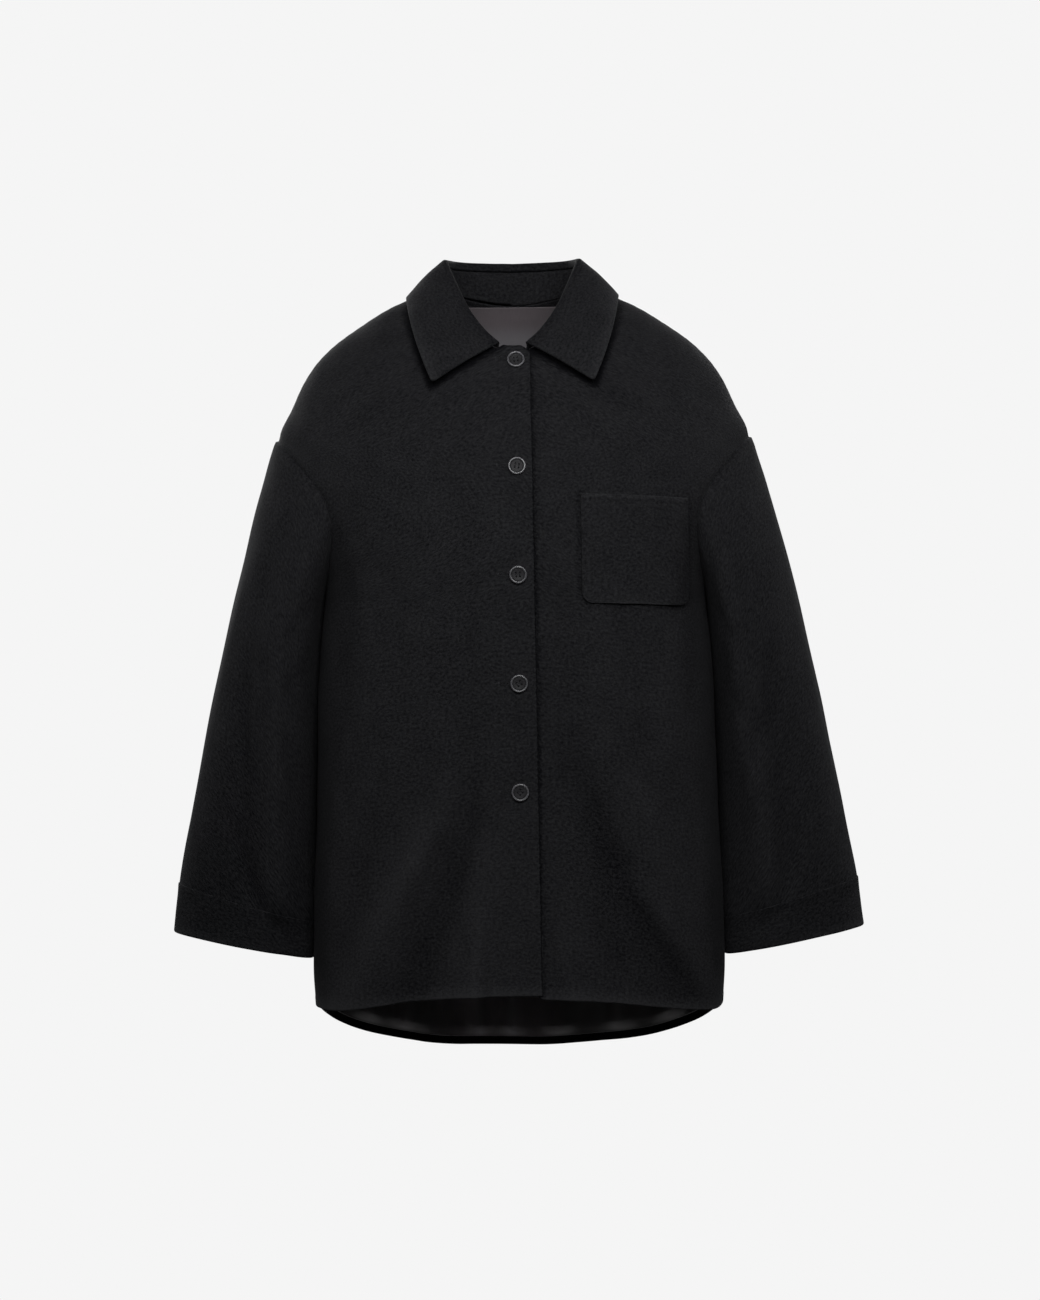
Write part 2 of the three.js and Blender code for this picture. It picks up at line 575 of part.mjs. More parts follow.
// The sleeve's outer and inner grids, from the armhole to the wrist. The cloth folds over at the seam.
function sleeveGrids(steps, columns) {
  const outer = [];
  const inner = [];
  const addRing = (ring) => {
    outer.push(ring.map(({ point }) => point));
    inner.push(ring.map(({ point, normal }) => point.clone().addScaledVector(normal, -CLOTH)));
  };
  const turns = range(columns).map((i) => i / columns);
  const firstRing = 1 / (SLEEVE_RINGS.length - 1);
  addRing(
    turns.map((turn) => {
      const { point, normal, away } = seamFrame(turn);
      return { point: point.clone().addScaledVector(away, SEAM_GAP), normal };
    }),
  );
  addRing(
    turns.map((turn) => {
      const { point, normal, away } = seamFrame(turn);
      const own = sleeveNormal(turn, firstRing);
      const down = sleevePoint(turn, firstRing).sub(point).normalize();
      const fold = (1 - normal.dot(own)) / 2;
      const direction = away.clone().add(down).addScaledVector(normal, 2 * fold).normalize();
      const middle = normal.clone().add(own).addScaledVector(away, -2 * fold).normalize();
      const start = point.clone().addScaledVector(away, SEAM_GAP);
      return { point: start.addScaledVector(direction, SLEEVE_CLEARANCE + SEAM_GAP), normal: middle };
    }),
  );
  for (const j of range(steps)) {
    const along = lerp(firstRing, 1, j / (steps - 1));
    addRing(
      turns.map((turn) => {
        const normal = sleeveNormal(turn, along);
        const point = sleevePoint(turn, along).addScaledVector(normal, sleeveFold(turn, along));
        return { point, normal };
      }),
    );
  }
  return { outer, inner };
}

function cuffGrids(steps, columns) {
  const wristRing = ringFrame(1);
  const outerPoint = wristRing.centre.clone().add(wristRing.u);
  const top = range(101).map((i) => 1 - i / 200).find((along) => {
    const ring = ringFrame(along);
    return ring.centre.clone().add(ring.u).distanceTo(outerPoint) >= CUFF.height;
  });
  const ringAt = (along, offset) =>
    range(columns).map((i) => {
      const turn = i / columns;
      const normal = sleeveNormal(turn, along);
      return sleevePoint(turn, along).addScaledVector(normal, sleeveFold(turn, along) + offset);
    });
  const rings = range(steps + 1).map((j) => lerp(top, 1, j / steps));
  return {
    outer: rings.map((along) => ringAt(along, CUFF.gap + CUFF.thickness)),
    inner: rings.map((along) => ringAt(along, CUFF.gap)),
  };
}

function addSleevesAndCuffs() {
  const columns = 2 * ROWS.armhole;
  const sleeve = sleeveGrids(SLEEVE_STEPS, columns);
  const cuff = cuffGrids(CUFF_STEPS, columns);
  for (const [name, grids] of [["sleeve", sleeve], ["cuff", cuff]]) {
    addPiece(`${name}_left`, wall(grids.outer, grids.inner, true), wool);
    addPiece(`${name}_right`, wall(mirrorX(grids.outer), mirrorX(grids.inner), true), wool);
  }
}

// The neck edges of a front and of half the back, as built, from the centre to the shoulder.
const NECK_EDGES = [
  halfPanelRows(1, underEdge, COLUMNS.front),
  halfPanelRows(-1, () => 0, COLUMNS.halfBack),
].map((rows) =>
  rows[rows.length - 1].map(({ angle, z }) => ({ point: bodyPoint(angle, z), normal: bodyNormal(angle, z) })),
);

// The collar's neck seam on the left: turn 0 is its front end, 0.5 the shoulder and 1 the centre back.
function collarSeam(turn) {
  const endTurn = (Math.asin(COLLAR[0].rollX / NECK.halfWidth) * 2) / Math.PI;
  const onFront = turn < 0.5;
  const share = onFront ? lerp(endTurn, 1, (turn * 2) ** SEAM_EASE) : (1 - turn) * 2;
  const x = NECK.halfWidth * Math.sin((share * Math.PI) / 2);
  const line = NECK_EDGES[onFront ? 0 : 1];
  const i = clamp(line.findIndex(({ point }) => point.x >= x) - 1, 0, line.length - 2);
  const t = clamp((x - line[i].point.x) / (line[i + 1].point.x - line[i].point.x), 0, 1);
  return {
    point: line[i].point.clone().lerp(line[i + 1].point, t),
    normal: line[i].normal.clone().lerp(line[i + 1].normal, t).normalize(),
  };
}

const COLLAR_CURVES = Object.fromEntries(
  ["rollX", "rollY", "rollZ", "edgeX", "edgeY", "edgeZ"].map((column) => [
    column,
    tableCurve(COLLAR, "turn", column),
  ]),
);
const collarCurve = (name, turn) =>
  new THREE.Vector3(...["X", "Y", "Z"].map((axis) => COLLAR_CURVES[name + axis](turn)));

// The collar's section: the roll's centre and directions, the leaf's edge, and the seam at the neck.
function collarSection(turn, rise) {
  const step = 0.02;
  const roll = collarCurve("roll", turn);
  const [low, high] = [Math.max(turn - step, 0), Math.min(turn + step, 1)];
  const tangent = collarCurve("roll", high).sub(collarCurve("roll", low));
  if (turn > 1 - step) tangent.setY(0).setZ(0);
  tangent.normalize();
  const outward = tangent.clone().cross(new THREE.Vector3(0, 0, 1)).normalize();
  const upward = outward.clone().cross(tangent);
  const edge = collarCurve("edge", turn);
  const leafNormal = edge.clone().sub(roll).cross(tangent).normalize();
  const centre = roll.clone().addScaledVector(upward, -ROLL_RADIUS);
  const { point, normal } = collarSeam(turn);
  point.addScaledVector(normal, rise(point));
  const away = collarSeam(high).point.sub(collarSeam(low).point).cross(normal).normalize();
  if (away.z < 0) away.negate();
  const seamOuter = point.clone().addScaledVector(away, NECK_SEAM_GAP);
  const seamInner = seamOuter.clone().addScaledVector(normal, -CLOTH);
  const legTop = centre.clone().addScaledVector(outward, -ROLL_RADIUS);
  return { outward, upward, edge, leafNormal, centre, seamInner, seamNormal: normal, legTop };
}

function collarColumn(turn, rise) {
  const section = collarSection(turn, rise);
  const { outward, upward, edge, leafNormal, centre, seamInner, seamNormal, legTop } = section;
  const height = legTop.distanceTo(seamInner);
  const leg = Math.min(FALL_INNER_LEG, height * FALL_LEG_SHARE);
  const down = seamInner.clone().sub(legTop).normalize();
  const stand = range(COLLAR_STEPS.stand + 1).map((j) => {
    const share = lerp((leg + SEAM_GAP) / height, 1, j / COLLAR_STEPS.stand);
    const inside = legTop.clone().lerp(seamInner, share);
    const outside = outward.clone().lerp(seamNormal, share ** 3).normalize();
    return { inside, outside: inside.clone().addScaledVector(outside, CLOTH) };
  });
  const leafAngle = Math.atan2(leafNormal.dot(upward), leafNormal.dot(outward));
  const fall = [{ face: legTop.clone().addScaledVector(down, leg), normal: outward.clone().negate() }];
  for (const j of range(COLLAR_STEPS.roll + 1)) {
    const angle = lerp(Math.PI, leafAngle, j / COLLAR_STEPS.roll);
    const normal = outward.clone().multiplyScalar(Math.cos(angle)).addScaledVector(upward, Math.sin(angle));
    fall.push({ face: centre.clone().addScaledVector(normal, ROLL_RADIUS), normal });
  }
  const leafStart = fall[fall.length - 1].face;
  for (const j of range(COLLAR_STEPS.leaf)) {
    const share = (j + 1) / COLLAR_STEPS.leaf;
    const bow = LEAF_BOW * Math.sin(Math.PI * share);
    const face = leafStart.clone().lerp(edge, share).addScaledVector(leafNormal, bow);
    fall.push({ face, normal: leafNormal });
  }
  return {
    standOutside: stand.map((row) => row.outside),
    standInside: stand.map((row) => row.inside),
    face: fall.map((row) => row.face),
    under: fall.map((row) => row.face.clone().addScaledVector(row.normal, -COLLAR_CLOTH)),
  };
}

function addCollar() {
  const count = COLLAR_STEPS.round;
  const leftColumns = range(count + 1).map((i) => collarColumn(i / count, () => 0));
  const rightColumns = range(count)
    .map((i) => collarColumn(i / count, (point) => overlapRise(point.x)))
    .reverse();
  const columns = leftColumns.concat(rightColumns);
  const grid = (key) =>
    columns[0][key].map((_, j) =>
      columns.map((column, i) => {
        const point = column[key][j].clone();
        return i > count ? point.setX(-point.x) : point;
      }),
    );
  addPiece("collar_stand", wall(grid("standOutside").reverse(), grid("standInside").reverse()), wool);
  addPiece("collar_fall", wall(grid("face").reverse(), grid("under").reverse()), wool);
}

function addPocket() {
  const { left, right, top, bottom, cornerRadius: r, slant } = POCKET;
  const { columns, straightRows, cornerRows } = POCKET_GRID;
  const heights = cornerRows.map((share) => bottom + share * r);
  heights.push(...range(straightRows).map((i) => lerp(bottom + r, top, (i + 1) / straightRows)));
  const rows = heights.map((z) => {
    const cut = z < bottom + r ? r - Math.sqrt(r ** 2 - (bottom + r - z) ** 2) : 0;
    return range(columns + 1).map((i) => {
      const x = lerp(left + cut, right - cut, i / columns);
      const slanted = z - slant * (x - left);
      return { angle: angleAt(x, slanted, 1), z: slanted };
    });
  });
  addPiece("pocket", wall(offsetGrid(rows, POCKET.gap + CLOTH), offsetGrid(rows, POCKET.gap)), wool);
}

const solidFrom = (geometry) => {
  const plain = geometry.clone().deleteAttribute("normal").deleteAttribute("uv");
  const merged = mergeVertices(plain, 1e-4);
  return new wasm.Manifold(
    new wasm.Mesh({
      numProp: 3,
      vertProperties: new Float32Array(merged.attributes.position.array),
      triVerts: new Uint32Array(merged.index.array),
    }),
  );
};

function geometryFrom(solid) {
  const mesh = solid.getMesh();
  const geometry = new THREE.BufferGeometry();
  geometry.setAttribute("position", new THREE.BufferAttribute(mesh.vertProperties.slice(), 3));
  geometry.setIndex(new THREE.BufferAttribute(mesh.triVerts.slice(), 1));
  geometry.computeVertexNormals();
  return geometry;
}

// A round button with a raised rim and four holes. Its back is at height 0 and its axis is Z.
function buttonGeometry() {
  const { diameter, thickness, bevel, rim, dish, holeCircle, holeDiameter, sides } = BUTTON;
  const radius = diameter / 2;
  const profile = [
    [0, 0],
    [radius - bevel, 0],
    [radius, bevel],
    [radius, thickness - bevel],
    [radius - bevel, thickness],
    [radius - rim, thickness],
    [radius - rim - dish, thickness - dish],
    [0, thickness - dish],
  ].map(([x, y]) => new THREE.Vector2(x, y));
  const body = new THREE.LatheGeometry(profile, sides).rotateX(Math.PI / 2);
  const holes = range(4).map((i) => {
    const a = ((i + 0.5) * Math.PI) / 2;
    return new THREE.CylinderGeometry(holeDiameter / 2, holeDiameter / 2, 3 * thickness, 6)
      .rotateX(Math.PI / 2)
      .translate((Math.cos(a) * holeCircle) / 2, (Math.sin(a) * holeCircle) / 2, 0);
  });
  return geometryFrom(holes.reduce((solid, hole) => solid.subtract(solidFrom(hole)), solidFrom(body)));
}

function addButtons() {
  const geometry = buttonGeometry();
  for (const i of range(BUTTON.count)) {
    const z = BUTTON.first - i * BUTTON.spacing;
    const angle = angleAt(BUTTON.x, z, 1);
    const normal = bodyNormal(angle, z);
    const button = addPiece(`button_${i + 1}`, geometry, horn);
    button.position.copy(bodyPoint(angle, z)).addScaledVector(normal, CLOTH + LAYER_GAP + BUTTON.gap);
    button.quaternion.setFromUnitVectors(new THREE.Vector3(0, 0, 1), normal);
  }
}

addFronts();
addBackAndLining();
addSleevesAndCuffs();
addCollar();
addPocket();
addButtons();

export default jacket;
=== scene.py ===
"""A wool jacket, filled out with no wearer: cloth shells, collar, cuffs, lining, buttons and stage.

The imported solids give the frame. Every cloth piece is a thin shell on its solid's form, worked out from
the same sections and folds, with finer creases, seams and rounded edges. Shapes are worked out in
millimetres and become metres when a mesh is made. +Z is up, the front faces -Y, and +X is the wearer's
left.
"""

import math

import bpy
import numpy as np
from bpy.props import FloatProperty, FloatVectorProperty, IntProperty, PointerProperty
from mathutils import Euler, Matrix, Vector


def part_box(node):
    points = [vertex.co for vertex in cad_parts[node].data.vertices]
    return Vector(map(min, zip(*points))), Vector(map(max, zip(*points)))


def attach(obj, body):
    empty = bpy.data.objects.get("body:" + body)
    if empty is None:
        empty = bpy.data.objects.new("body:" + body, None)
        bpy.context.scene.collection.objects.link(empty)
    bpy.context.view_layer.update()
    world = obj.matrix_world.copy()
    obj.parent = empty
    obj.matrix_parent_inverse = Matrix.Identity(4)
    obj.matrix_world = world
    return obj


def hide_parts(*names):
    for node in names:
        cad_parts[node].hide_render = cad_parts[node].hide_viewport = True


bl_info = {
    "name": "Wool Jacket",
    "version": (1, 0, 0),
    "blender": (4, 5, 0),
    "location": "View3D > Sidebar > Jacket",
    "description": "Builds the cloth, lining, buttons and stage of a wool jacket around its frame",
    "category": "Object",
}

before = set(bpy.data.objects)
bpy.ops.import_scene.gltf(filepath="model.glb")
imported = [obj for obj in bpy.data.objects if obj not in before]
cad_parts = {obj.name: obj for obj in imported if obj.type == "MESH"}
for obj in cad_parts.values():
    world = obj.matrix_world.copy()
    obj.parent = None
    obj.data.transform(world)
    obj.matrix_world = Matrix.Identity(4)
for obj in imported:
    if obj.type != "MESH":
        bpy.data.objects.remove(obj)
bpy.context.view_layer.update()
MM = 0.001

# How the cloth is built up.
CLOTH = 2.5
LINING = 1.0
COLLAR_CLOTH = 3.0
CUFF_CLOTH = 2.2
FULL_ROUND = 0.48  # the share of a cloth's thickness that still leaves a face between two round edges
SEAM_GAP = 0.3
SLEEVE_TUCK = 0.1
LAYER_GAP = 0.4
NECK_SEAM_GAP = 0.75
POCKET_GAP = 0.8
SLEEVE_FOLD_OVER = 0.9
SLEEVE_TURN = 9.0
SLEEVE_JOIN = 1.15
SLEEVE_START = (0, 0.02, 0.05, 0.09, 0.15, 0.23, 0.34, 0.48, 0.64, 0.82)  # shares of the way to ring 1

# Places of the cut.
SHOULDER_TIP = -155.3
UNDERARM = -325.0
NECK = {"half_width": 78.0, "front": 85.0, "back": 68.0, "lowest": -140.0}
HEM = {"front": -729.0, "side": -748.5, "back": -810.0, "front_bend": 4, "under_front": -4.0}
EDGE_PAST_CENTRE = {"top": 17.5, "bottom": 23.5, "under": 18.0}
PLACKET = {"smooth_to": 26.0, "fade": 22.0, "rise_to": 24.0, "rise_fade": 60.0}
NECK_CORNER = {"dip": 3.0, "start": 6.0, "width": 8.0}
NECK_RISE = {"height": 5.5, "to": 9.0, "fade": 7.0}
UNDER_HEM = {"rise": 5.0, "from": 18.0, "over": 4.0, "side_fade": 0.4}
POCKET = {"left": 67.0, "right": 176.0, "top": -222.5, "bottom": -333.0, "radius": 11.0, "slant": 0.035}
CUFF = {"height": 52.0, "gap": 0.4, "turn_in": 14.0, "lift": 0.9, "lift_reach": 9.0}
CUFF_FOLD_ANGLES = np.linspace(0, np.pi, 17)[1:-1]
CUFF_INNER_RINGS = 8
LINING_ABOVE_HEM = 9.0
STRAIGHT_NECK = {"fade": 50.0}
LINING_HANG = {"from_seam": 14.0, "from_hem": 10.0, "slack": 0.5, "round": 0.45, "grid": 1.35}
# Painted light and shade on the lining: paler satin below the neck as painted light, painted shade towards
# the hem's sides, and painted lighter streaks by the hem, each by its place, width and amount.
NECK_SATIN_LIGHT = {"from": -24.0, "over": 26.0, "amount": 0.85, "to": -120.0, "fade": 80.0}
HEM_SATIN_SHADE = {"from": -660.0, "over": 60.0, "amount": 1.0, "middle": -25.0, "half_width": 45.0, "fade": 30.0}
HEM_SATIN_LIT_STREAKS = ((-128, 9, 0.4), (-45, 5, 0.5), (-8, 6, 0.6), (168, 12, 0.15))  # place, width and amount
ROW_CENTRES = {1: {"underarm": -330.0, "tip": -175.0}, -1: {"underarm": -318.0, "tip": -140.0}}
ROW_BEND = {"body": 1.6, "shoulder": 0.8, "neck": 1.6}
SIDES_SMOOTH = {"to": 0.12, "over": 0.5}
FOLD = {"start": 0.65, "end": 1.15, "lead": 0.12, "grow": 0.6, "stop": 1.15, "shrink": 0.35}
FRONT, BACK = 1, -1
BORDERS = ("start", "end", "bottom", "top")

# Rough lengths of parts of the cloth, which set how many lines their grids have.
LENGTHS = {
    "armhole": 175.0,
    "shoulder": 180.0,
    "sleeve_round": 560.0,
    "sleeve": 530.0,
    "cuff_round": 400.0,
    "half_collar": 190.0,
}


def table(names, rows):
    """A short table as one array for each named column."""
    return dict(zip(names.split(), np.array(rows, float).T))


# The body's horizontal sections, from the neck to the hem. Squareness 2 is an ellipse.
SECTIONS = table(
    "z half_width front back squareness",
    (
        (14, 38, 8, 42, 2),
        (0, 78, 24, 56, 2),
        (-10, 105, 34, 66.5, 2),
        (-20, 128, 44, 74, 2.03),
        (-40, 160.5, 62, 86, 2.07),
        (-60, 188, 77, 95, 2.1),
        (-80, 207.5, 88, 102, 2.15),
        (-100, 220.5, 98, 107, 2.2),
        (-125, 232, 108, 113, 2.25),
        (-155, 245.5, 117.5, 118, 2.3),
        (-175, 247, 123, 121, 2.34),
        (-200, 240, 129, 123, 2.4),
        (-235, 222, 135, 125, 2.48),
        (-265, 208, 139, 126, 2.55),
        (-285, 203, 141, 126.5, 2.58),
        (-305, 200, 142, 127, 2.6),
        (-325, 199.5, 142.5, 127, 2.62),
        (-370, 203.5, 143, 127, 2.66),
        (-432, 207, 143, 127.5, 2.7),
        (-540, 210, 143, 129, 2.7),
        (-645, 214.0, 144, 133, 2.65),
        (-710, 214.6, 145, 137, 2.6),
        (-750, 212.8, 146, 139, 2.6),
        (-830, 207, 148, 143, 2.6),
    ),
)

# How far from the centre the armhole seam runs, on the front and on the back.
ARMHOLE = table(
    "z front back",
    (
        (-158, 243.2, 243.8),
        (-165, 237.5, 239),
        (-175, 230, 232.5),
        (-190, 218, 222),
        (-204, 206.5, 212),
        (-220, 197, 204),
        (-235, 190.5, 198.5),
        (-250, 187.5, 195),
        (-265, 188, 194),
        (-285, 191.5, 195),
        (-305, 195.5, 197),
        (-317, 198.2, 198.6),
    ),
)

# The sleeve's rings, from the shoulder to the wrist: the outer and the inner point of each.
SLEEVE_RINGS = table(
    "outer_x outer_z inner_x inner_z half_depth mid_y own",
    (
        (245.7, -155.3, 199.5, -325, 87, 0, 0),
        (250, -167, 201.5, -331, 88, 0, 0.1),
        (257.5, -192, 203.5, -348, 89, 0, 0.32),
        (268, -228, 205.5, -376, 89, -1, 0.6),
        (280.5, -277, 207.5, -412, 86, -2, 0.86),
        (294.5, -334, 209.7, -452, 82, -3, 1),
        (307.5, -392, 211.2, -495, 76, -4, 1),
        (319.5, -450, 212.6, -538, 69, -6, 1),
        (331, -508, 213.8, -580, 61, -8, 1),
        (341.5, -563, 215, -622, 53, -11, 1),
        (350.6, -614, 215.8, -657, 45, -14, 1),
        (354, -639, 217.3, -674, 41.5, -15, 1),
        (358, -671, 218.1, -698.5, 37.5, -16, 1),
    ),
)

# The collar from the centre front (0) round the side (0.5) to the centre back (1).
COLLAR = table(
    "turn roll_x roll_y roll_z edge_x edge_y edge_z",
    (
        (0, 14, -90.5, -64.5, 83, -109.5, -106),
        (0.12, 28, -79.5, -51, 92.5, -97.5, -82),
        (0.25, 46.5, -58, -25, 101.5, -74.5, -55),
        (0.38, 60, -33, 4, 108.5, -42, -28),
        (0.5, 70.5, 0, 30.5, 112, 0, -9.5),
        (0.65, 64, 36, 33, 98, 48, -14),
        (0.82, 38, 61, 33.5, 56, 74, -19),
        (1, 0, 72, 33.5, 0, 82, -22),
    ),
)
COLLAR_FORM = {"roll_radius": 3.6, "inner_leg": 6.0, "leg_share": 0.3, "bow": 2.0, "ease": 1.15}
COLLAR_GRID = {"round": 2.4, "leaf": 3.4, "stand_rows": 15, "leg_rows": 6, "roll_rows": 15}
# Painted light and shade on the collar's fall: a painted highlight along its free edge, and painted shade in
# the hollow by the roll.
COLLAR_PAINTED_LIGHT = {"edge": 0.6, "hollow": -0.35, "hollow_at": 10, "hollow_width": 7}

# Folds of the body: a line from one point to another, seen from the front. Troughs have a negative height.
FRONT_FOLDS = table(
    "from_x from_z to_x to_z width height",
    (
        (-30, -480, -112, -735, 19, -8),
        (26, -462, 90, -580, 17, -5),
        (84, -575, 160, -735, 18, -6.5),
        (-72, -520, -162, -715, 21, 6),
        (-22, -590, -46, -740, 26, 6),
        (100, -500, 140, -650, 22, 4),
        (44, -600, 70, -740, 22, 4),
    ),
)
BACK_FOLDS = table(
    "from_x from_z to_x to_z width height",
    (
        (-128, -300, -140, -790, 22, 6),
        (-84, -380, -88, -800, 20, -6),
        (-34, -330, -30, -810, 26, 4.5),
        (24, -470, 28, -810, 20, -5),
        (78, -320, 86, -800, 22, 5.5),
        (132, -420, 138, -790, 18, -5),
    ),
)
# Finer creases, which only the cloth has.
FRONT_CREASES = table(
    "from_x from_z to_x to_z width height",
    (
        (-24, -505, -106, -722, 11, -4.2),
        (-80, -545, -168, -712, 16, 5.5),
        (-14, -585, -40, -722, 15, 6),
        (-130, -465, -168, -650, 12, -3.5),
        (62, -465, 98, -650, 12, -4),
        (94, -615, 166, -722, 12, -4),
        (116, -505, 156, -620, 14, 4.5),
        (122, -615, 186, -716, 14, 3.5),
        (28, -630, 46, -724, 13, 4),
        (90, -285, 84, -470, 20, 2.2),
        (160, -262, 154, -440, 15, 3.4),
        (46, -290, 58, -460, 16, -1.8),
        (-160, -262, -152, -480, 15, 2.8),
        (-112, -265, -104, -350, 15, 1.4),
        (-84, -440, -74, -540, 15, 2.6),
        (-46, -285, -52, -460, 17, -2),
        (-178, -235, -118, -322, 8, -1.5),
        (182, -280, 150, -375, 8, -1.6),
        (178, -212, 118, -200, 8, -0.9),
        (-152, -168, -95, -120, 11, -1),
        (142, -148, 100, -112, 11, -0.9),
    ),
)
BACK_CREASES = table(
    "from_x from_z to_x to_z width height",
    (
        (-172, -235, -110, -300, 10, -1.5),
        (174, -240, 118, -315, 10, -1.6),
        (-182, -300, -150, -420, 9, -1.3),
        (184, -310, 150, -440, 9, -1.2),
        (-60, -560, -66, -790, 10, -1.7),
        (52, -600, 60, -800, 11, 1.6),
        (112, -590, 108, -780, 9, -1.6),
        (-110, -640, -116, -790, 9, 1.5),
        (0, -160, 4, -420, 30, -1.2),
        (-92, -110, -40, -150, 12, -0.8),
        (90, -118, 44, -156, 12, -0.8),
    ),
)

# Folds round a sleeve: turn is 0 at the outer side, 0.25 in front, 0.5 inside and 0.75 behind.
SLEEVE_FOLDS = table(
    "turn along turn_width along_width height",
    (
        (0.2, 0.5, 0.05, 0.16, -3),
        (0.3, 0.78, 0.05, 0.2, 3),
        (0.13, 0.7, 0.04, 0.16, 2.5),
        (0.78, 0.5, 0.05, 0.14, -4),
        (0.7, 0.7, 0.05, 0.16, 3),
    ),
)
# A sleeve's finer creases: lines from one place to another, by the millimetres round the sleeve from its
# outer side and the millimetres down from its top. 105 round is the middle of the front.
SLEEVE_CREASES = {
    "right": table(
        "from_x from_z to_x to_z width height",
        (
            (80, 70, 72, 250, 15, -2.6),
            (74, 240, 100, 410, 13, -3.2),
            (98, 400, 142, 520, 12, -3.4),
            (106, 80, 116, 250, 14, 2.2),
            (120, 250, 138, 420, 13, 2.4),
            (40, 180, 34, 420, 16, 2.0),
            (150, 110, 122, 190, 8, -1.5),
            (156, 190, 118, 262, 8, -1.3),
            (330, 90, 345, 300, 15, -2.6),
            (300, 60, 270, 150, 9, -1.6),
            (380, 200, 372, 440, 15, 2.2),
            (318, 330, 290, 500, 12, -2.4),
        ),
    ),
    "left": table(
        "from_x from_z to_x to_z width height",
        (
            (90, 70, 104, 250, 14, -2.4),
            (104, 240, 106, 400, 13, -3.2),
            (106, 390, 126, 500, 12, -2.8),
            (122, 70, 142, 250, 14, 2.4),
            (142, 250, 128, 420, 13, 2.6),
            (24, 100, 46, 260, 16, 2.0),
            (44, 250, 32, 430, 16, 2.4),
            (152, 130, 124, 210, 8, -1.4),
            (158, 220, 120, 290, 8, -1.2),
            (326, 80, 338, 310, 15, -2.4),
            (296, 70, 268, 160, 9, -1.5),
            (384, 180, 376, 430, 15, 2.0),
            (312, 340, 296, 500, 12, -2.6),
        ),
    ),
}
# The body presses the sleeve's inner side flat, and it swells a little below that.
SIDE_PRESS = {"turn_width": 0.1, "start": 0.55, "over": 0.2, "height": 1.3}
UNDERARM_SEAM = {"turn": 0.56, "depth": 0.9, "width": 1.6, "start": 8.0}
SLEEVE_ROUND = 420.0
SLEEVE_LENGTH = 560.0
# The lining hangs in soft upright folds: how far each one stands in from the back, by its place and height.
LINING_FOLDS = table(
    "from_x from_z to_x to_z width height",
    (
        (0, -10, 3, -300, 9, 2.6),
        (-16, -20, -24, -260, 8, -0.3),
        (-118, -420, -126, -800, 13, 6.4),
        (-58, -500, -46, -806, 10, 5.0),
        (-4, -560, -8, -806, 9, 6.0),
        (48, -480, 40, -806, 12, 5.2),
        (104, -520, 112, -800, 11, 5.5),
        (158, -400, 166, -780, 11, 5.4),
        (-160, -440, -166, -780, 10, 5.0),
    ),
)
# Slow waves that keep broad cloth from being perfectly even: wavelengths across and along, phase and height.
WAVES = table(
    "across along phase height",
    (
        (147, 410, 0.4, 0.34),
        (-93, 262, 2.1, 0.26),
        (61, -188, 4.0, 0.2),
        (-212, -96, 5.2, 0.2),
        (44, 120, 1.3, 0.13),
        (-37, 71, 3.3, 0.1),
    ),
)
# How much closer together the waves are on each kind of piece, across and along.
WAVE_SCALE = {"body": (2.0, 1.0), "lining": (1.6, 0.8), "collar": (1.7, 1.4), "pocket": (1.9, 1.5)}
WAVE_SHIFT = {"left": 90, "right": 10}

# Distances from a border at which the grid has its first lines, so that an edge can be round.
EDGE_LINES = (0.0, 0.25, 0.6, 1.1, 1.8, 2.8, 4.2)
HEM_BAND = {"width": 9.5, "step": 0.35, "softness": 1.1}
POCKET_BAND = {"width": 6.0, "step": 0.55, "softness": 0.9}
POCKET_GRID = {"up": 1.6, "across": 66, "columns": 79}
POCKET_FORM = {"full_from": 14, "gape": 0.9, "gape_depth": 26, "stand_off": 0.5, "waves": 0.4}
POCKET_STITCH = {"depth": 0.45, "from_edge": 3.2, "width": 1.1}
ROW_SAMPLES = 241
ARMHOLE_SAMPLES = 193
HALVINGS = 40
SEAM_CALM = 30.0
# Fold height at which the painted light and shade on folds is full, and its strength.
FOLD_SHADE_HEIGHT = 12.0
FOLD_SHADE_AMOUNT = 0.5
SEAM_PUCKER = {"reach": 8.0, "wavelength": 13.0, "height": 0.16, "drift": 1.7, "drift_length": 31.0}
# Width of the painted highlight along free edges.
EDGE_HIGHLIGHT_WIDTH = 8.0


def colour_setting(name, description, default):
    """A colour that the user can change."""
    return FloatVectorProperty(
        name=name, description=description, default=default, subtype="COLOR", min=0.0, max=1.0
    )


def length_setting(name, description, default, least=-10.0):
    """A length in metres that the user can change."""
    return FloatProperty(name=name, description=description, default=default, min=least, unit="LENGTH")


class ClothSettings(bpy.types.PropertyGroup):
    """How finely and how strongly the cloth is shaped."""

    grid_step: length_setting(
        "Grid Step", "Distance between the lines of the cloth's mesh", 0.0034, 0.002
    )
    crease_strength: FloatProperty(
        name="Crease Strength",
        description="Height of the fine creases, as a share of the heights in the tables",
        default=1.0,
        min=0.0,
        max=2.0,
        subtype="FACTOR",
    )
    edge_round: length_setting("Edge Rounding", "Radius of the cloth's free edges", 0.0012, 0.0002)
    seam_round: length_setting(
        "Seam Rounding", "Radius of the cloth's edges where two pieces are sewn together", 0.0009, 0.0002
    )
    collar_corner: length_setting("Collar Corner", "Radius of the collar's points", 0.005, 0.001)


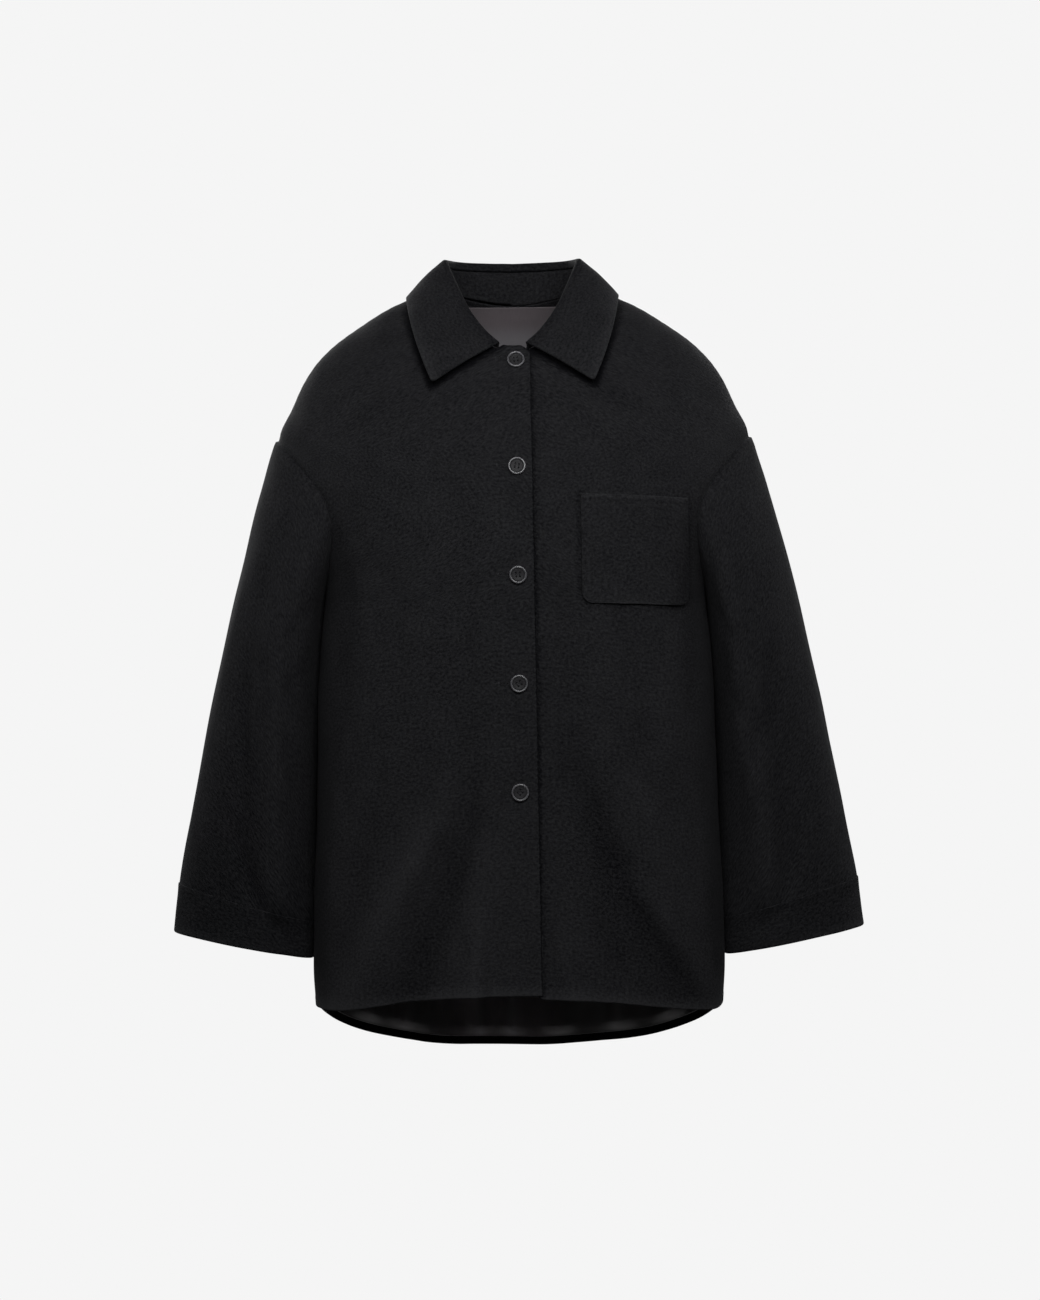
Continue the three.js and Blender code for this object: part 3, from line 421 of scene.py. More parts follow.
class FinishSettings(bpy.types.PropertyGroup):
    """Colours and surface of the cloth, the lining, the buttons and the thread."""

    wool_deep: colour_setting(
        "Wool Ground", "Colour of the wool deep in the nap", (0.0022, 0.0023, 0.0028)
    )
    wool_light: colour_setting("Wool Fibres", "Colour of the raised fibres", (0.0190, 0.0192, 0.0206))
    lining: colour_setting("Lining", "Colour of the satin lining", (0.078, 0.068, 0.073))
    lining_pale: colour_setting(
        "Lining Shine", "Colour of the satin lining where it catches the light", (0.112, 0.109, 0.116)
    )
    horn: colour_setting("Buttons", "Colour of the buttons", (0.026, 0.026, 0.028))
    thread: colour_setting("Thread", "Colour of the sewing thread", (0.0052, 0.0052, 0.006))
    nap_height: length_setting("Nap Height", "Height of the wool's fibres", 0.0009, 0.0)


class ButtonSettings(bpy.types.PropertyGroup):
    """Sizes of the buttons, their holes and the buttonholes."""

    diameter: length_setting("Diameter", "Diameter of a button", 0.018)
    thickness: length_setting("Thickness", "Thickness of a button at its rim", 0.0034)
    hole_length: length_setting("Buttonhole Length", "Length of a sewn buttonhole", 0.021)
    sides: IntProperty(
        name="Sides",
        description="Sides of a button's round form",
        default=72,
        min=16,
    )


class StageSettings(bpy.types.PropertyGroup):
    """The floor, the backdrop, the lights and the camera."""

    backdrop: colour_setting("Backdrop", "Colour of the backdrop", (0.913, 0.913, 0.913))
    ambient: FloatProperty(
        name="Ambient Light",
        description="Strength of the even light from all round",
        default=0.01,
        min=0.0,
    )
    front_power: FloatProperty(
        name="Front Lights",
        description="Power of a soft light in front of the jacket",
        default=18.5,
        min=0.0,
        unit="POWER",
    )
    side_power: FloatProperty(
        name="Side Lights",
        description="Power of a soft light beside or above the jacket",
        default=3.6,
        min=0.0,
        unit="POWER",
    )
    back_power: FloatProperty(
        name="Back Lights",
        description="Power of a soft light behind the jacket",
        default=44.0,
        min=0.0,
        unit="POWER",
    )
    camera_distance: length_setting(
        "Camera Distance", "Distance from the camera to the jacket's middle plane", 3.6
    )
    floor_height: length_setting("Floor Height", "Height of the floor under the shoulder points", -1.42)


# Painted light and painted shade on the nap: lighter and darker patches of the front by place, and of a
# sleeve by turn. The front is painted lighter beside the sleeves, and a sleeve darker low on its front.
FRONT_PAINTED_LIGHT = table(
    "x z across up amount",
    (
        (-200, -470, 24, 260, 0.6),
        (200, -470, 24, 260, 0.6),
        (-50, -640, 90, 100, 0.28),
        (90, -660, 60, 80, -0.1),
    ),
)
SLEEVE_PAINTED_SHADE = {
    "right": table("turn along turn_width along_width height", ((0.25, 0.95, 0.4, 0.28, -0.5),)),
    "left": table("turn along turn_width along_width height", ((0.25, 0.95, 0.4, 0.28, -0.12),)),
}
# Painted shade: each cuff's colour is darkened evenly, the right one more.
CUFF_PAINTED_SHADE = {"right": -0.3, "left": -0.14}
# Edges that lie on a front, as lines of places seen from the front. A painted shadow darkens the nap beside
# them.
COLLAR_EDGE = ((13, -69), (84, -109.5), (103, -57), (110, -30), (114, -10))
POCKET_EDGE = (
    (65, -222),
    (65, -324),
    (69, -332),
    (77, -335.5),
    (164, -338.5),
    (173, -336.5),
    (178, -329),
    (178, -228),
)
# Painted shadow beside the collar, the pocket and the upper front's edge, with a wider faint one by the edge,
# painted shade at the collar's fold line, and a broken dark line along the pocket's stitching.
EDGE_SHADE = {
    "collar": {"width": 3.6, "amount": -1.5},
    "pocket": {"width": 3.0, "amount": -0.45},
    "front": {"width": 2.4, "amount": -0.8},
    "front_wide": {"width": 9.0, "amount": -0.15},
    "fold_line": {"width": 1.6, "amount": -1.3},
    "stitches": {"from_edge": 5.2, "width": 1.0, "amount": -0.9},
}


def smooth(t):
    """A smooth step from 0 to 1."""
    t = np.clip(t, 0.0, 1.0)
    return t * t * (3 - 2 * t)


def mix(a, b, t):
    """A value on the way from a to b."""
    return a + (b - a) * t


def unit(vectors):
    """Vectors of length 1."""
    return vectors / np.maximum(np.linalg.norm(vectors, axis=-1, keepdims=True), 1e-12)


def dot(a, b):
    """Products of matching vectors, kept as a last axis of one."""
    return np.sum(a * b, axis=-1, keepdims=True)


def table_curve(columns, along, name):
    """Interpolates a column of a table smoothly, and never past its rows."""
    order = np.argsort(columns[along])
    x = columns[along][order]
    y = columns[name][order]
    slope = np.diff(y) / np.diff(x)
    product = slope[:-1] * slope[1:]
    rising = product > 0
    middle = np.where(rising, 2 * product / np.where(rising, slope[:-1] + slope[1:], 1.0), 0.0)
    tangent = np.concatenate([slope[:1], middle, slope[-1:]])

    def value(at):
        at = np.clip(at, x[0], x[-1])
        i = np.clip(np.searchsorted(x, at, side="right") - 1, 0, len(x) - 2)
        step = x[i + 1] - x[i]
        t = (at - x[i]) / step
        bends = tangent[i] * (t**3 - 2 * t**2 + t) + tangent[i + 1] * (t**3 - t**2)
        return mix(y[i], y[i + 1], 3 * t**2 - 2 * t**3) + step * bends

    return value


half_width = table_curve(SECTIONS, "z", "half_width")
front_depth = table_curve(SECTIONS, "z", "front")
back_depth = table_curve(SECTIONS, "z", "back")
squareness = table_curve(SECTIONS, "z", "squareness")


def line_folds(folds, x, z):
    """Height of the folds of a table at points seen from the front."""
    total = np.zeros(np.broadcast(x, z).shape)
    for from_x, from_z, to_x, to_z, width, height in zip(*folds.values()):
        dx = to_x - from_x
        dz = to_z - from_z
        length = math.hypot(dx, dz)
        along = ((x - from_x) * dx + (z - from_z) * dz) / length**2
        across = ((x - from_x) * dz - (z - from_z) * dx) / length
        spread = width * mix(FOLD["start"], FOLD["end"], np.clip(along, 0, 1))
        fade = smooth((along + FOLD["lead"]) / FOLD["grow"])
        fade = fade * (1 - smooth((along - FOLD["stop"]) / FOLD["shrink"]))
        total = total + height * fade * np.exp(-((across / spread) ** 2))
    return total


def body_relief(x, z, on_front):
    """Height of the folds and the creases on the body. The strip of the buttons stays smooth."""
    strength = bpy.context.scene.jacket_cloth.crease_strength
    stiff = smooth((np.abs(x) - PLACKET["smooth_to"]) / PLACKET["fade"])
    front = stiff * (line_folds(FRONT_FOLDS, x, z) + strength * line_folds(FRONT_CREASES, x, z))
    back = line_folds(BACK_FOLDS, x, z) + strength * line_folds(BACK_CREASES, x, z)
    return np.where(on_front, front, back)


def waves(across, along):
    """The slow unevenness of broad cloth."""
    total = np.zeros(np.broadcast(across, along).shape)
    for wave_across, wave_along, phase, height in zip(*WAVES.values()):
        total = total + height * np.sin(2 * np.pi * (across / wave_across + along / wave_along) + phase)
    return total


def body_point(angle, z):
    """Points of the body's outer surface. Angle 0 is the wearer's left, and a quarter turn the front."""
    power = 2 / squareness(z)
    c = np.cos(angle)
    s = np.sin(angle)
    x = half_width(z) * np.sign(c) * np.abs(c) ** power
    depth = np.where(s >= 0, -front_depth(z), back_depth(z))
    sides = smooth((np.abs(s) - SIDES_SMOOTH["to"]) / SIDES_SMOOTH["over"])
    y = (depth + np.sign(depth) * body_relief(x, z, s >= 0) * sides) * np.abs(s) ** power
    return np.stack(np.broadcast_arrays(x, y, z), axis=-1)


def body_normal(angle, z):
    """Directions out of the body's surface."""
    step_angle = 0.008
    step_z = 1.0
    around = body_point(angle + step_angle, z) - body_point(angle - step_angle, z)
    up = body_point(angle, z + step_z) - body_point(angle, z - step_z)
    return unit(np.cross(up, around))


def angle_at(x, z, side):
    """The angle at which the body's section at height z is at x."""
    share = np.minimum(1.0, np.abs(x) / half_width(z))
    return side * np.arccos(np.sign(x) * share ** (squareness(z) / 2))


def height_at(x, y):
    """The height at which the body's surface passes points seen from above."""
    low = np.full(np.shape(x), NECK["lowest"])
    high = np.full(np.shape(x), SECTIONS["z"].max())
    for _ in range(HALVINGS):
        z = (low + high) / 2
        n = squareness(z)
        depth = np.where(y < 0, front_depth(z), back_depth(z))
        outside = (np.abs(x) / half_width(z)) ** n + (np.abs(y) / depth) ** n > 1
        low, high = np.where(outside, low, z), np.where(outside, z, high)
    return (low + high) / 2


def reach_along(points, axis):
    """Distance along the lines of a grid from their first point."""
    steps = np.linalg.norm(np.diff(points, axis=axis), axis=-1)
    start = np.zeros_like(np.take(steps, [0], axis=axis))
    return np.concatenate([start, np.cumsum(steps, axis=axis)], axis=axis)


def neck_place(turn, side):
    """The neck seam on the left half: turn 0 is the centre, and 1 is the shoulder."""
    a = turn * math.pi / 2
    x = NECK["half_width"] * np.sin(a)
    y = -NECK["front"] * np.cos(a) if side == FRONT else NECK["back"] * np.cos(a)
    z = height_at(x, y)
    return angle_at(x, z, side), z


def hem_height(angle):
    """The front hem rises late towards the centre, and the back hem falls evenly to it."""
    s = np.sin(angle)
    front = mix(HEM["side"], HEM["front"], np.abs(s) ** HEM["front_bend"])
    return np.where(s >= 0, front, mix(HEM["side"], HEM["back"], -s))


def armhole_line(side):
    """The armhole seam on the left as a function of a share of its length, from underarm to tip."""
    column = "front" if side == FRONT else "back"
    ends = [UNDERARM, SHOULDER_TIP]
    line = {
        "z": np.concatenate([ARMHOLE["z"], ends]),
        "x": np.concatenate([ARMHOLE[column], half_width(np.array(ends))]),
    }
    x = table_curve(line, "z", "x")
    z = mix(UNDERARM, SHOULDER_TIP, (1 - np.cos(np.linspace(0, math.pi, ARMHOLE_SAMPLES))) / 2)
    angle = angle_at(x(z), z, side)
    reach = reach_along(body_point(angle, z), 0)
    share = reach / reach[-1]

    def place(at):
        return np.interp(at, share, angle), np.interp(at, share, z)

    return place


def border_lines(length, step, start=EDGE_LINES, end=EDGE_LINES):
    """Distances of grid lines along a length, close together at a border that has edge lines."""
    first = np.array(start if len(start) else (0.0,))
    last = length - np.array(end if len(end) else (0.0,))[::-1]
    count = max(2, round((last[0] - first[-1]) / step))
    return np.concatenate([first, np.linspace(first[-1], last[0], count + 1)[1:-1], last])


def half_panel(side, edge_x, step, hem_drop=None, neck_dip=None, edge_lines=EDGE_LINES):
    """Angles and heights of a half panel's grid, with rows from the hem to the neck.

    A row starts at the panel's own edge and ends on the side seam, the armhole or the shoulder seam.
    """
    t = np.linspace(0, 1, ROW_SAMPLES)[None, :]
    armhole = armhole_line(side)
    centre = ROW_CENTRES[side]
    hem_centre = HEM["front"] if side == FRONT else HEM["back"]

    def straight(centre_z, end_angle, end_z):
        start = angle_at(-edge_x(centre_z), centre_z, side)
        return mix(start, end_angle, t), mix(centre_z, end_z, t ** ROW_BEND["body"])

    def neck_row():
        past = -math.asin(edge_x(np.array(0.0)) / NECK["half_width"]) * 2 / math.pi
        angle, z = neck_place(mix(past, 1, t), side)
        if neck_dip is None:
            return angle, z
        x = body_point(angle, z)[..., 0]
        z = z - neck_dip(x)
        return angle_at(x, z, side), z

    neck_angle, neck_z = neck_row()
    neck_centre = neck_z[0, 0]

    rise = centre["underarm"] - hem_centre
    share = (border_lines(rise, step, end=()) / rise)[:-1, None]
    centre_z = mix(hem_centre, centre["underarm"], share)
    angle = angle_at(-edge_x(centre_z), centre_z, side) * (1 - t)
    _, underarm_z = straight(np.array([[centre["underarm"]]]), 0.0, UNDERARM)
    hem = hem_height(angle) + (0.0 if hem_drop is None else hem_drop(angle))
    hem_rows = angle, mix(hem, underarm_z, share)

    count = round(LENGTHS["armhole"] / step)
    share = (np.arange(count) / count)[:, None]
    end_angle, end_z = armhole(share)
    armhole_rows = straight(mix(centre["underarm"], centre["tip"], share), end_angle, end_z)

    shoulder = LENGTHS["shoulder"]
    share = (border_lines(shoulder, step, start=()) / shoulder)[:, None]
    end_z = mix(SHOULDER_TIP, 0.0, share ** ROW_BEND["shoulder"])
    plain_angle, plain_z = straight(mix(centre["tip"], neck_centre, share), 0.0, end_z)
    chord_angle, chord_z = straight(np.array([[neck_centre]]), 0.0, 0.0)
    pull = share ** ROW_BEND["neck"]
    shoulder_rows = (
        plain_angle + pull * (neck_angle - chord_angle),
        plain_z + pull * (neck_z - chord_z),
    )

    angles = np.concatenate([hem_rows[0], armhole_rows[0], shoulder_rows[0]])
    heights = np.concatenate([hem_rows[1], armhole_rows[1], shoulder_rows[1]])
    reach = reach_along(body_point(angles, heights), 1)
    columns = len(border_lines(np.median(reach[:, -1]), step, start=edge_lines))
    placed = []
    for row_angle, row_z, row_reach in zip(angles, heights, reach):
        own_step = (row_reach[-1] - len(edge_lines)) / max(columns, 1)
        at = border_lines(row_reach[-1], own_step, start=edge_lines)
        at = np.interp(np.linspace(0, 1, columns), np.linspace(0, 1, len(at)), at)
        placed.append((np.interp(at, row_reach, row_angle), np.interp(at, row_reach, row_z)))
    placed = np.array(placed)
    return placed[:, 0], placed[:, 1]


def grid_normals(points, closed=False):
    """Directions out of a grid whose rows go up and whose columns go anticlockwise round +Z."""
    if closed:
        around = np.roll(points, -1, axis=1) - np.roll(points, 1, axis=1)
    else:
        around = np.gradient(points, axis=1)
    up = np.gradient(points, axis=0)
    return unit(np.cross(around, up))


def edge_drop(distance, radius):
    """How far a surface falls away near a rounded edge."""
    inside = np.clip(radius - distance, 0, radius)
    return radius - np.sqrt(radius**2 - inside**2)


def border_distances(points):
    """Distances of a grid's points from its first and last column and its first and last row."""
    along_rows = reach_along(points, 1)
    along_columns = reach_along(points, 0)
    return {
        "start": along_rows,
        "end": along_rows[:, -1:] - along_rows,
        "bottom": along_columns,
        "top": along_columns[-1:] - along_columns,
    }


def rounded(distances, radii):
    """The fall of a grid's surface near those of its borders that have a radius."""
    return np.max([edge_drop(distances[border], radius) for border, radius in radii.items()], axis=0)


def pucker(distance, along):
    """The slight gathering of the cloth beside a seam."""
    drift = SEAM_PUCKER["drift"] * np.sin(along / SEAM_PUCKER["drift_length"])
    wave = np.sin(2 * np.pi * along / SEAM_PUCKER["wavelength"] + drift)
    return SEAM_PUCKER["height"] * wave * np.exp(-((distance / SEAM_PUCKER["reach"]) ** 2))


def band(distance, form):
    """The small step at the inner edge of a turned-in border."""
    return form["step"] * (1 - smooth((distance - form["width"]) / form["softness"] / 2 + 0.5))


def edge_highlight(*distances):
    """A painted highlight near edges, where a rounded edge catches the light, from 0 to 1."""
    return np.max([np.exp(-((distance / EDGE_HIGHLIGHT_WIDTH) ** 2)) for distance in distances], axis=0)


def beside_line(x, z, line, width):
    """How near places seen from the front are to a line: 1 on it, and 0 more than two widths away."""
    nearest = np.full(np.shape(x), 1e6)
    for (from_x, from_z), (to_x, to_z) in zip(line[:-1], line[1:]):
        dx = to_x - from_x
        dz = to_z - from_z
        share = np.clip(((x - from_x) * dx + (z - from_z) * dz) / (dx**2 + dz**2), 0, 1)
        nearest = np.minimum(nearest, np.hypot(x - from_x - share * dx, z - from_z - share * dz))
    return np.exp(-((nearest / width) ** 2))


def front_painted_light(x, z):
    """Painted light and shade on the fronts' nap: lighter and darker patches, and painted shadow beside what
    lies on them.
    """
    total = np.zeros(np.shape(x))
    for at_x, at_z, across, up, amount in zip(*FRONT_PAINTED_LIGHT.values()):
        total = total + amount * np.exp(-(((x - at_x) / across) ** 2) - ((z - at_z) / up) ** 4)
    collar = EDGE_SHADE["collar"]
    pocket = EDGE_SHADE["pocket"]
    total = total + collar["amount"] * beside_line(np.abs(x), z, COLLAR_EDGE, collar["width"])
    total = total + pocket["amount"] * beside_line(x, z, POCKET_EDGE, pocket["width"])
    past_edge = x - upper_edge(z)
    for name in ("front", "front_wide"):
        shade = EDGE_SHADE[name]
        under = shade["amount"] * np.exp(-((past_edge / shade["width"]) ** 2))
        total = total + np.where(past_edge > -1.0, under, 0.0)
    return total


def fold_light_and_shade(height):
    """Painted light on a fold's ridge and painted shade in its hollow."""
    return np.clip(height / FOLD_SHADE_HEIGHT, -1, 1) * FOLD_SHADE_AMOUNT


def cloth_mesh(name, outer, inner, grain, painted_light=None, closed=False):
    """A closed shell between two grids of points, in millimetres, as an object in metres."""
    rows, columns = outer.shape[:2]
    layer = rows * columns
    j, i = np.meshgrid(np.arange(rows - 1), np.arange(columns if closed else columns - 1), indexing="ij")
    i_next = (i + 1) % columns
    a, b = j * columns + i, j * columns + i_next
    c, d = (j + 1) * columns + i_next, (j + 1) * columns + i
    faces = [np.stack([a, b, c, d], -1), np.stack([a, d, c, b], -1) + layer]
    k = np.arange(columns if closed else columns - 1)
    k_next = (k + 1) % columns
    top = (rows - 1) * columns
    faces.append(np.stack([k + layer, k_next + layer, k_next, k], -1))
    faces.append(np.stack([top + k, top + k_next, top + k_next + layer, top + k + layer], -1))
    if not closed:
        k = np.arange(rows - 1) * columns
        end = columns - 1
        faces.append(np.stack([k, k + columns, k + columns + layer, k + layer], -1))
        k = k + end
        faces.append(np.stack([k + layer, k + columns + layer, k + columns, k], -1))
    faces = np.concatenate([part.reshape(-1, 4) for part in faces])
    points = np.concatenate([outer.reshape(-1, 3), inner.reshape(-1, 3)]) * MM
    mesh = bpy.data.meshes.new(name)
    mesh.from_pydata(points.tolist(), [], faces.tolist())
    mesh.polygons.foreach_set("use_smooth", np.ones(len(faces), bool))
    grain = np.concatenate([grain.reshape(-1, 2)] * 2) * MM
    painted_light = np.zeros((rows, columns)) if painted_light is None else painted_light
    mesh.attributes.new("grain", "FLOAT_VECTOR", "POINT").data.foreach_set(
        "vector", np.concatenate([grain, np.zeros((len(grain), 1))], axis=1).ravel()
    )
    # This attribute carries painted light and shade, which the cloth's materials add to its colour.
    mesh.attributes.new("painted_light", "FLOAT", "POINT").data.foreach_set("value", np.tile(painted_light.ravel(), 2))
    mesh.update()
    piece = bpy.data.objects.new(name, mesh)
    bpy.context.scene.collection.objects.link(piece)
    return piece


def mirror(grid):
    """A grid on the wearer's right from one on the left."""
    return grid[:, ::-1] * np.array([-1.0, 1.0, 1.0])


def grain_of(points):
    """Places along the cloth, across and up, for the weave."""
    across = reach_along(points, 1)
    along = reach_along(points, 0)
    return np.stack([across - across[:, -1:] / 2, along], axis=-1)


def seat(piece, slot_name, *nodes):
    """A piece rides on the jacket's body and stands for its solids, which are hidden."""
    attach(piece, "root")
    if nodes:
        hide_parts(*nodes)
    return piece


def radii(context):
    """Radii of free and of sewn edges, in millimetres."""
    cloth = context.scene.jacket_cloth
    return cloth.edge_round / MM, cloth.seam_round / MM


def upper_edge(z):
    """The upper front's edge slants a little."""
    return mix(EDGE_PAST_CENTRE["top"], EDGE_PAST_CENTRE["bottom"], np.clip(z / HEM["front"], 0, 1))


def under_edge(z):
    """The under front's edge is upright."""
    return EDGE_PAST_CENTRE["under"] + 0 * z


def centre_edge(z):
    """The back has no edge at its centre, where its two halves meet."""
    return 0.0 * z


def overlap_rise(own_x):
    """How far the upper front stands off to pass over the under one."""
    return (CLOTH + LAYER_GAP) * (1 - smooth((own_x - PLACKET["rise_to"]) / PLACKET["rise_fade"]))


def corner_dip(own_x):
    """The upper front's top corner dips under the collar's end."""
    return NECK_CORNER["dip"] * smooth((-own_x - NECK_CORNER["start"]) / NECK_CORNER["width"])


def neck_rise(own_x):
    """The fronts' neck edge runs a little higher between the collar's ends."""
    return NECK_RISE["height"] * (1 - smooth((np.abs(own_x) - NECK_RISE["to"]) / NECK_RISE["fade"]))


def under_dip(own_x):
    """How far the under front's neck edge lies below the plain neck seam."""
    return -neck_rise(own_x)


def upper_dip(own_x):
    """How far the upper front's neck edge lies below the plain neck seam."""
    return corner_dip(own_x) - neck_rise(own_x)


def under_hem_drop(angle):
    """The under front's hem hangs lower than the upper one's, but not where it is covered."""
    x = body_point(angle, np.full(np.shape(angle), HEM["front"]))[..., 0]
    covered = 1 - smooth((x - UNDER_HEM["from"]) / UNDER_HEM["over"])
    drop = HEM["under_front"] + UNDER_HEM["rise"] * covered
    return drop * smooth(np.sin(angle) / UNDER_HEM["side_fade"])


def panel_shell(name, angle, z, borders, free_edges, rise=0.0, hem=True):
    """A wool panel between its outer and inner surface, with rounded borders."""
    base = body_point(angle, z)
    normal = body_normal(angle, z)
    distances = border_distances(base)
    fall = rounded(distances, borders)
    grain = grain_of(base)
    sewn = [border for border in borders if border not in free_edges and border != "bottom"]
    from_seam = np.min([distances[border] for border in sewn], axis=0)
    across, up = WAVE_SCALE["body"]
    relief = waves(across * base[..., 0], up * base[..., 2]) * smooth(from_seam / SEAM_CALM)
    relief = relief * smooth((np.abs(base[..., 0]) - PLACKET["smooth_to"]) / PLACKET["rise_fade"])
    for border in sewn:
        along = grain[..., 0] if border == "top" else grain[..., 1]
        relief = relief + pucker(distances[border], along)
    turned = band(distances["bottom"], HEM_BAND) if hem else 0.0
    outer = base + normal * (rise + relief + turned - fall)[..., None]
    inner = base + normal * (rise + relief - CLOTH + fall)[..., None]
    on_front = base[..., 1] < 0
    # Painted highlight along the hem, painted light and shade on the folds, and on the fronts the painted
    # patches and shadows.
    painted_light = edge_highlight(distances["bottom"]) + fold_light_and_shade(body_relief(base[..., 0], base[..., 2], on_front))
    painted_light = painted_light + np.where(on_front, front_painted_light(base[..., 0], base[..., 2]), 0.0)
    return cloth_mesh(name, outer, inner, grain, painted_light)


class JACKET_OT_make_fronts(bpy.types.Operator):
    """Make the two fronts, the wearer's right one over the left one"""

    bl_idname = "jacket.make_fronts"
    bl_label = "Make Fronts"

    def execute(self, context):
        step = context.scene.jacket_cloth.grid_step / MM
        free, sewn = radii(context)
        under = half_panel(FRONT, under_edge, step, under_hem_drop, under_dip)
        borders = {"start": free, "end": sewn, "bottom": free, "top": sewn}
        left = panel_shell("front_left_cloth", *under, borders, ["start"])
        upper_angle, upper_z = half_panel(FRONT, upper_edge, step, None, upper_dip)
        upper_angle = np.pi - upper_angle[:, ::-1]
        upper_z = upper_z[:, ::-1]
        rise = overlap_rise(-body_point(upper_angle, upper_z)[..., 0])
        borders = {"start": sewn, "end": free, "bottom": free, "top": sewn}
        right = panel_shell("front_right_cloth", upper_angle, upper_z, borders, ["end"], rise)
        for piece, node in ((left, "front_left"), (right, "front_right")):
            seat(piece, "wool", node)
            dress(piece, wool_material())
        return {"FINISHED"}


def back_grid(step, hem_drop=None):
    """The back's grid in one piece, from the wearer's left side round to the right."""
    angle, z = half_panel(BACK, centre_edge, step, hem_drop, edge_lines=())
    angle = np.concatenate([angle[:, ::-1], -np.pi - angle[:, 1:]], axis=1)
    return angle, np.concatenate([z[:, ::-1], z[:, 1:]], axis=1)


class JACKET_OT_make_back(bpy.types.Operator):
    """Make the back in one piece"""

    bl_idname = "jacket.make_back"
    bl_label = "Make Back"

    def execute(self, context):
        free, sewn = radii(context)
        angle, z = back_grid(context.scene.jacket_cloth.grid_step / MM)
        borders = {"start": sewn, "end": sewn, "bottom": free, "top": sewn}
        piece = panel_shell("back_cloth", angle, z, borders, [])
        seat(piece, "wool", "back")
        dress(piece, wool_material())
        return {"FINISHED"}


def lining_hem_rise(_):
    """The lining ends above the back's hem, by the same height all along."""
    return LINING_ABOVE_HEM


def straight_neck(angle, z):
    """Lowers a back grid's top to a level line across the neck, where the back's wool shows above it."""
    x = body_point(angle, z)[..., 0]
    order = np.argsort(x[-1])
    edge = np.interp(x, x[-1][order], z[-1][order])
    level = z[-1][np.argmin(np.abs(x[-1]))]
    fade = smooth(1 - (edge - z) / STRAIGHT_NECK["fade"])
    z = z - np.maximum(edge - level, 0.0) * fade
    return angle_at(x, z, BACK), z


def lining_painted_light(x, z):
    """Painted light and shade on the satin: paler below the neck, where it catches the light, and painted
    shade at the hem's sides with painted lighter streaks.
    """
    neck = NECK_SATIN_LIGHT["amount"] * smooth((NECK_SATIN_LIGHT["from"] - z) / NECK_SATIN_LIGHT["over"])
    neck = neck * (1 - smooth((NECK_SATIN_LIGHT["to"] - z) / NECK_SATIN_LIGHT["fade"]))
    low = smooth((HEM_SATIN_SHADE["from"] - z) / HEM_SATIN_SHADE["over"])
    past_middle = np.abs(x - HEM_SATIN_SHADE["middle"]) - HEM_SATIN_SHADE["half_width"]
    sides = -HEM_SATIN_SHADE["amount"] * smooth(past_middle / HEM_SATIN_SHADE["fade"])
    for at_x, width, amount in HEM_SATIN_LIT_STREAKS:
        sides = sides + amount * np.exp(-(((x - at_x) / width) ** 2))
    return neck + low * sides


class JACKET_OT_make_lining(bpy.types.Operator):
    """Make the satin lining inside the back"""

    bl_idname = "jacket.make_lining"
    bl_label = "Make Lining"

    def execute(self, context):
        step = LINING_HANG["grid"] * context.scene.jacket_cloth.grid_step / MM
        angle, z = straight_neck(*back_grid(step, lining_hem_rise))
        base = body_point(angle, z)
        normal = body_normal(angle, z)
        distances = border_distances(base)
        sewn = np.min([distances["start"], distances["end"], distances["top"]], axis=0)
        loose = smooth(sewn / LINING_HANG["from_seam"])
        loose = loose * smooth(distances["bottom"] / LINING_HANG["from_hem"])
        across, along = WAVE_SCALE["lining"]
        inward = loose * np.maximum(line_folds(LINING_FOLDS, base[..., 0], z), -0.3)
        inward = inward + loose * (LINING_HANG["slack"] + waves(base[..., 0] * across, z * along))
        face = -CLOTH - LAYER_GAP - np.maximum(inward, 0)
        fall = rounded(distances, dict.fromkeys(BORDERS, LINING_HANG["round"] * LINING))
        outer = base + normal * (face - fall)[..., None]
        inner = base + normal * (face - LINING + fall)[..., None]
        # Painted light and shade on the lining.
        tone = lining_painted_light(base[..., 0], z)
        piece = cloth_mesh("back_lining_cloth", outer, inner, grain_of(base), tone)
        seat(piece, "lining", "back_lining")
        dress(piece, satin_material())
        return {"FINISHED"}


def armhole_place(turn):
    """A place on the armhole seam. Turn 0 is the shoulder tip, 0.25 is in front and 0.5 is the underarm."""
    turn = np.mod(turn, 1.0)
    front_angle, front_z = ARMHOLE_LINES[FRONT](1 - 2 * turn)
    back_angle, back_z = ARMHOLE_LINES[BACK](2 * turn - 1)
    on_front = turn <= 0.5
    return np.where(on_front, front_angle, back_angle), np.where(on_front, front_z, back_z)


ARMHOLE_LINES = {}
RING_COUNT = len(SLEEVE_RINGS["own"])
FIRST_RING = 1 / (RING_COUNT - 1)
RING_CURVES = {
    name: table_curve({"index": np.arange(RING_COUNT, dtype=float), name: column}, "index", name)
    for name, column in SLEEVE_RINGS.items()
}


def ring_frame(along):
    """The sleeve's ring planes: u runs from the inner point to the outer one, w is square to the plane."""
    value = {name: curve(along * (RING_COUNT - 1)) for name, curve in RING_CURVES.items()}
    outer = np.stack([value["outer_x"], 0 * along, value["outer_z"]], -1)
    inner = np.stack([value["inner_x"], 0 * along, value["inner_z"]], -1)
    centre = (outer + inner) / 2
    centre[..., 1] = value["mid_y"]
    u = (outer - inner) / 2
    w = unit(np.cross(np.array([0.0, 1.0, 0.0]), u))
    return centre, u, w, value["half_depth"][..., None], value["own"][..., None]


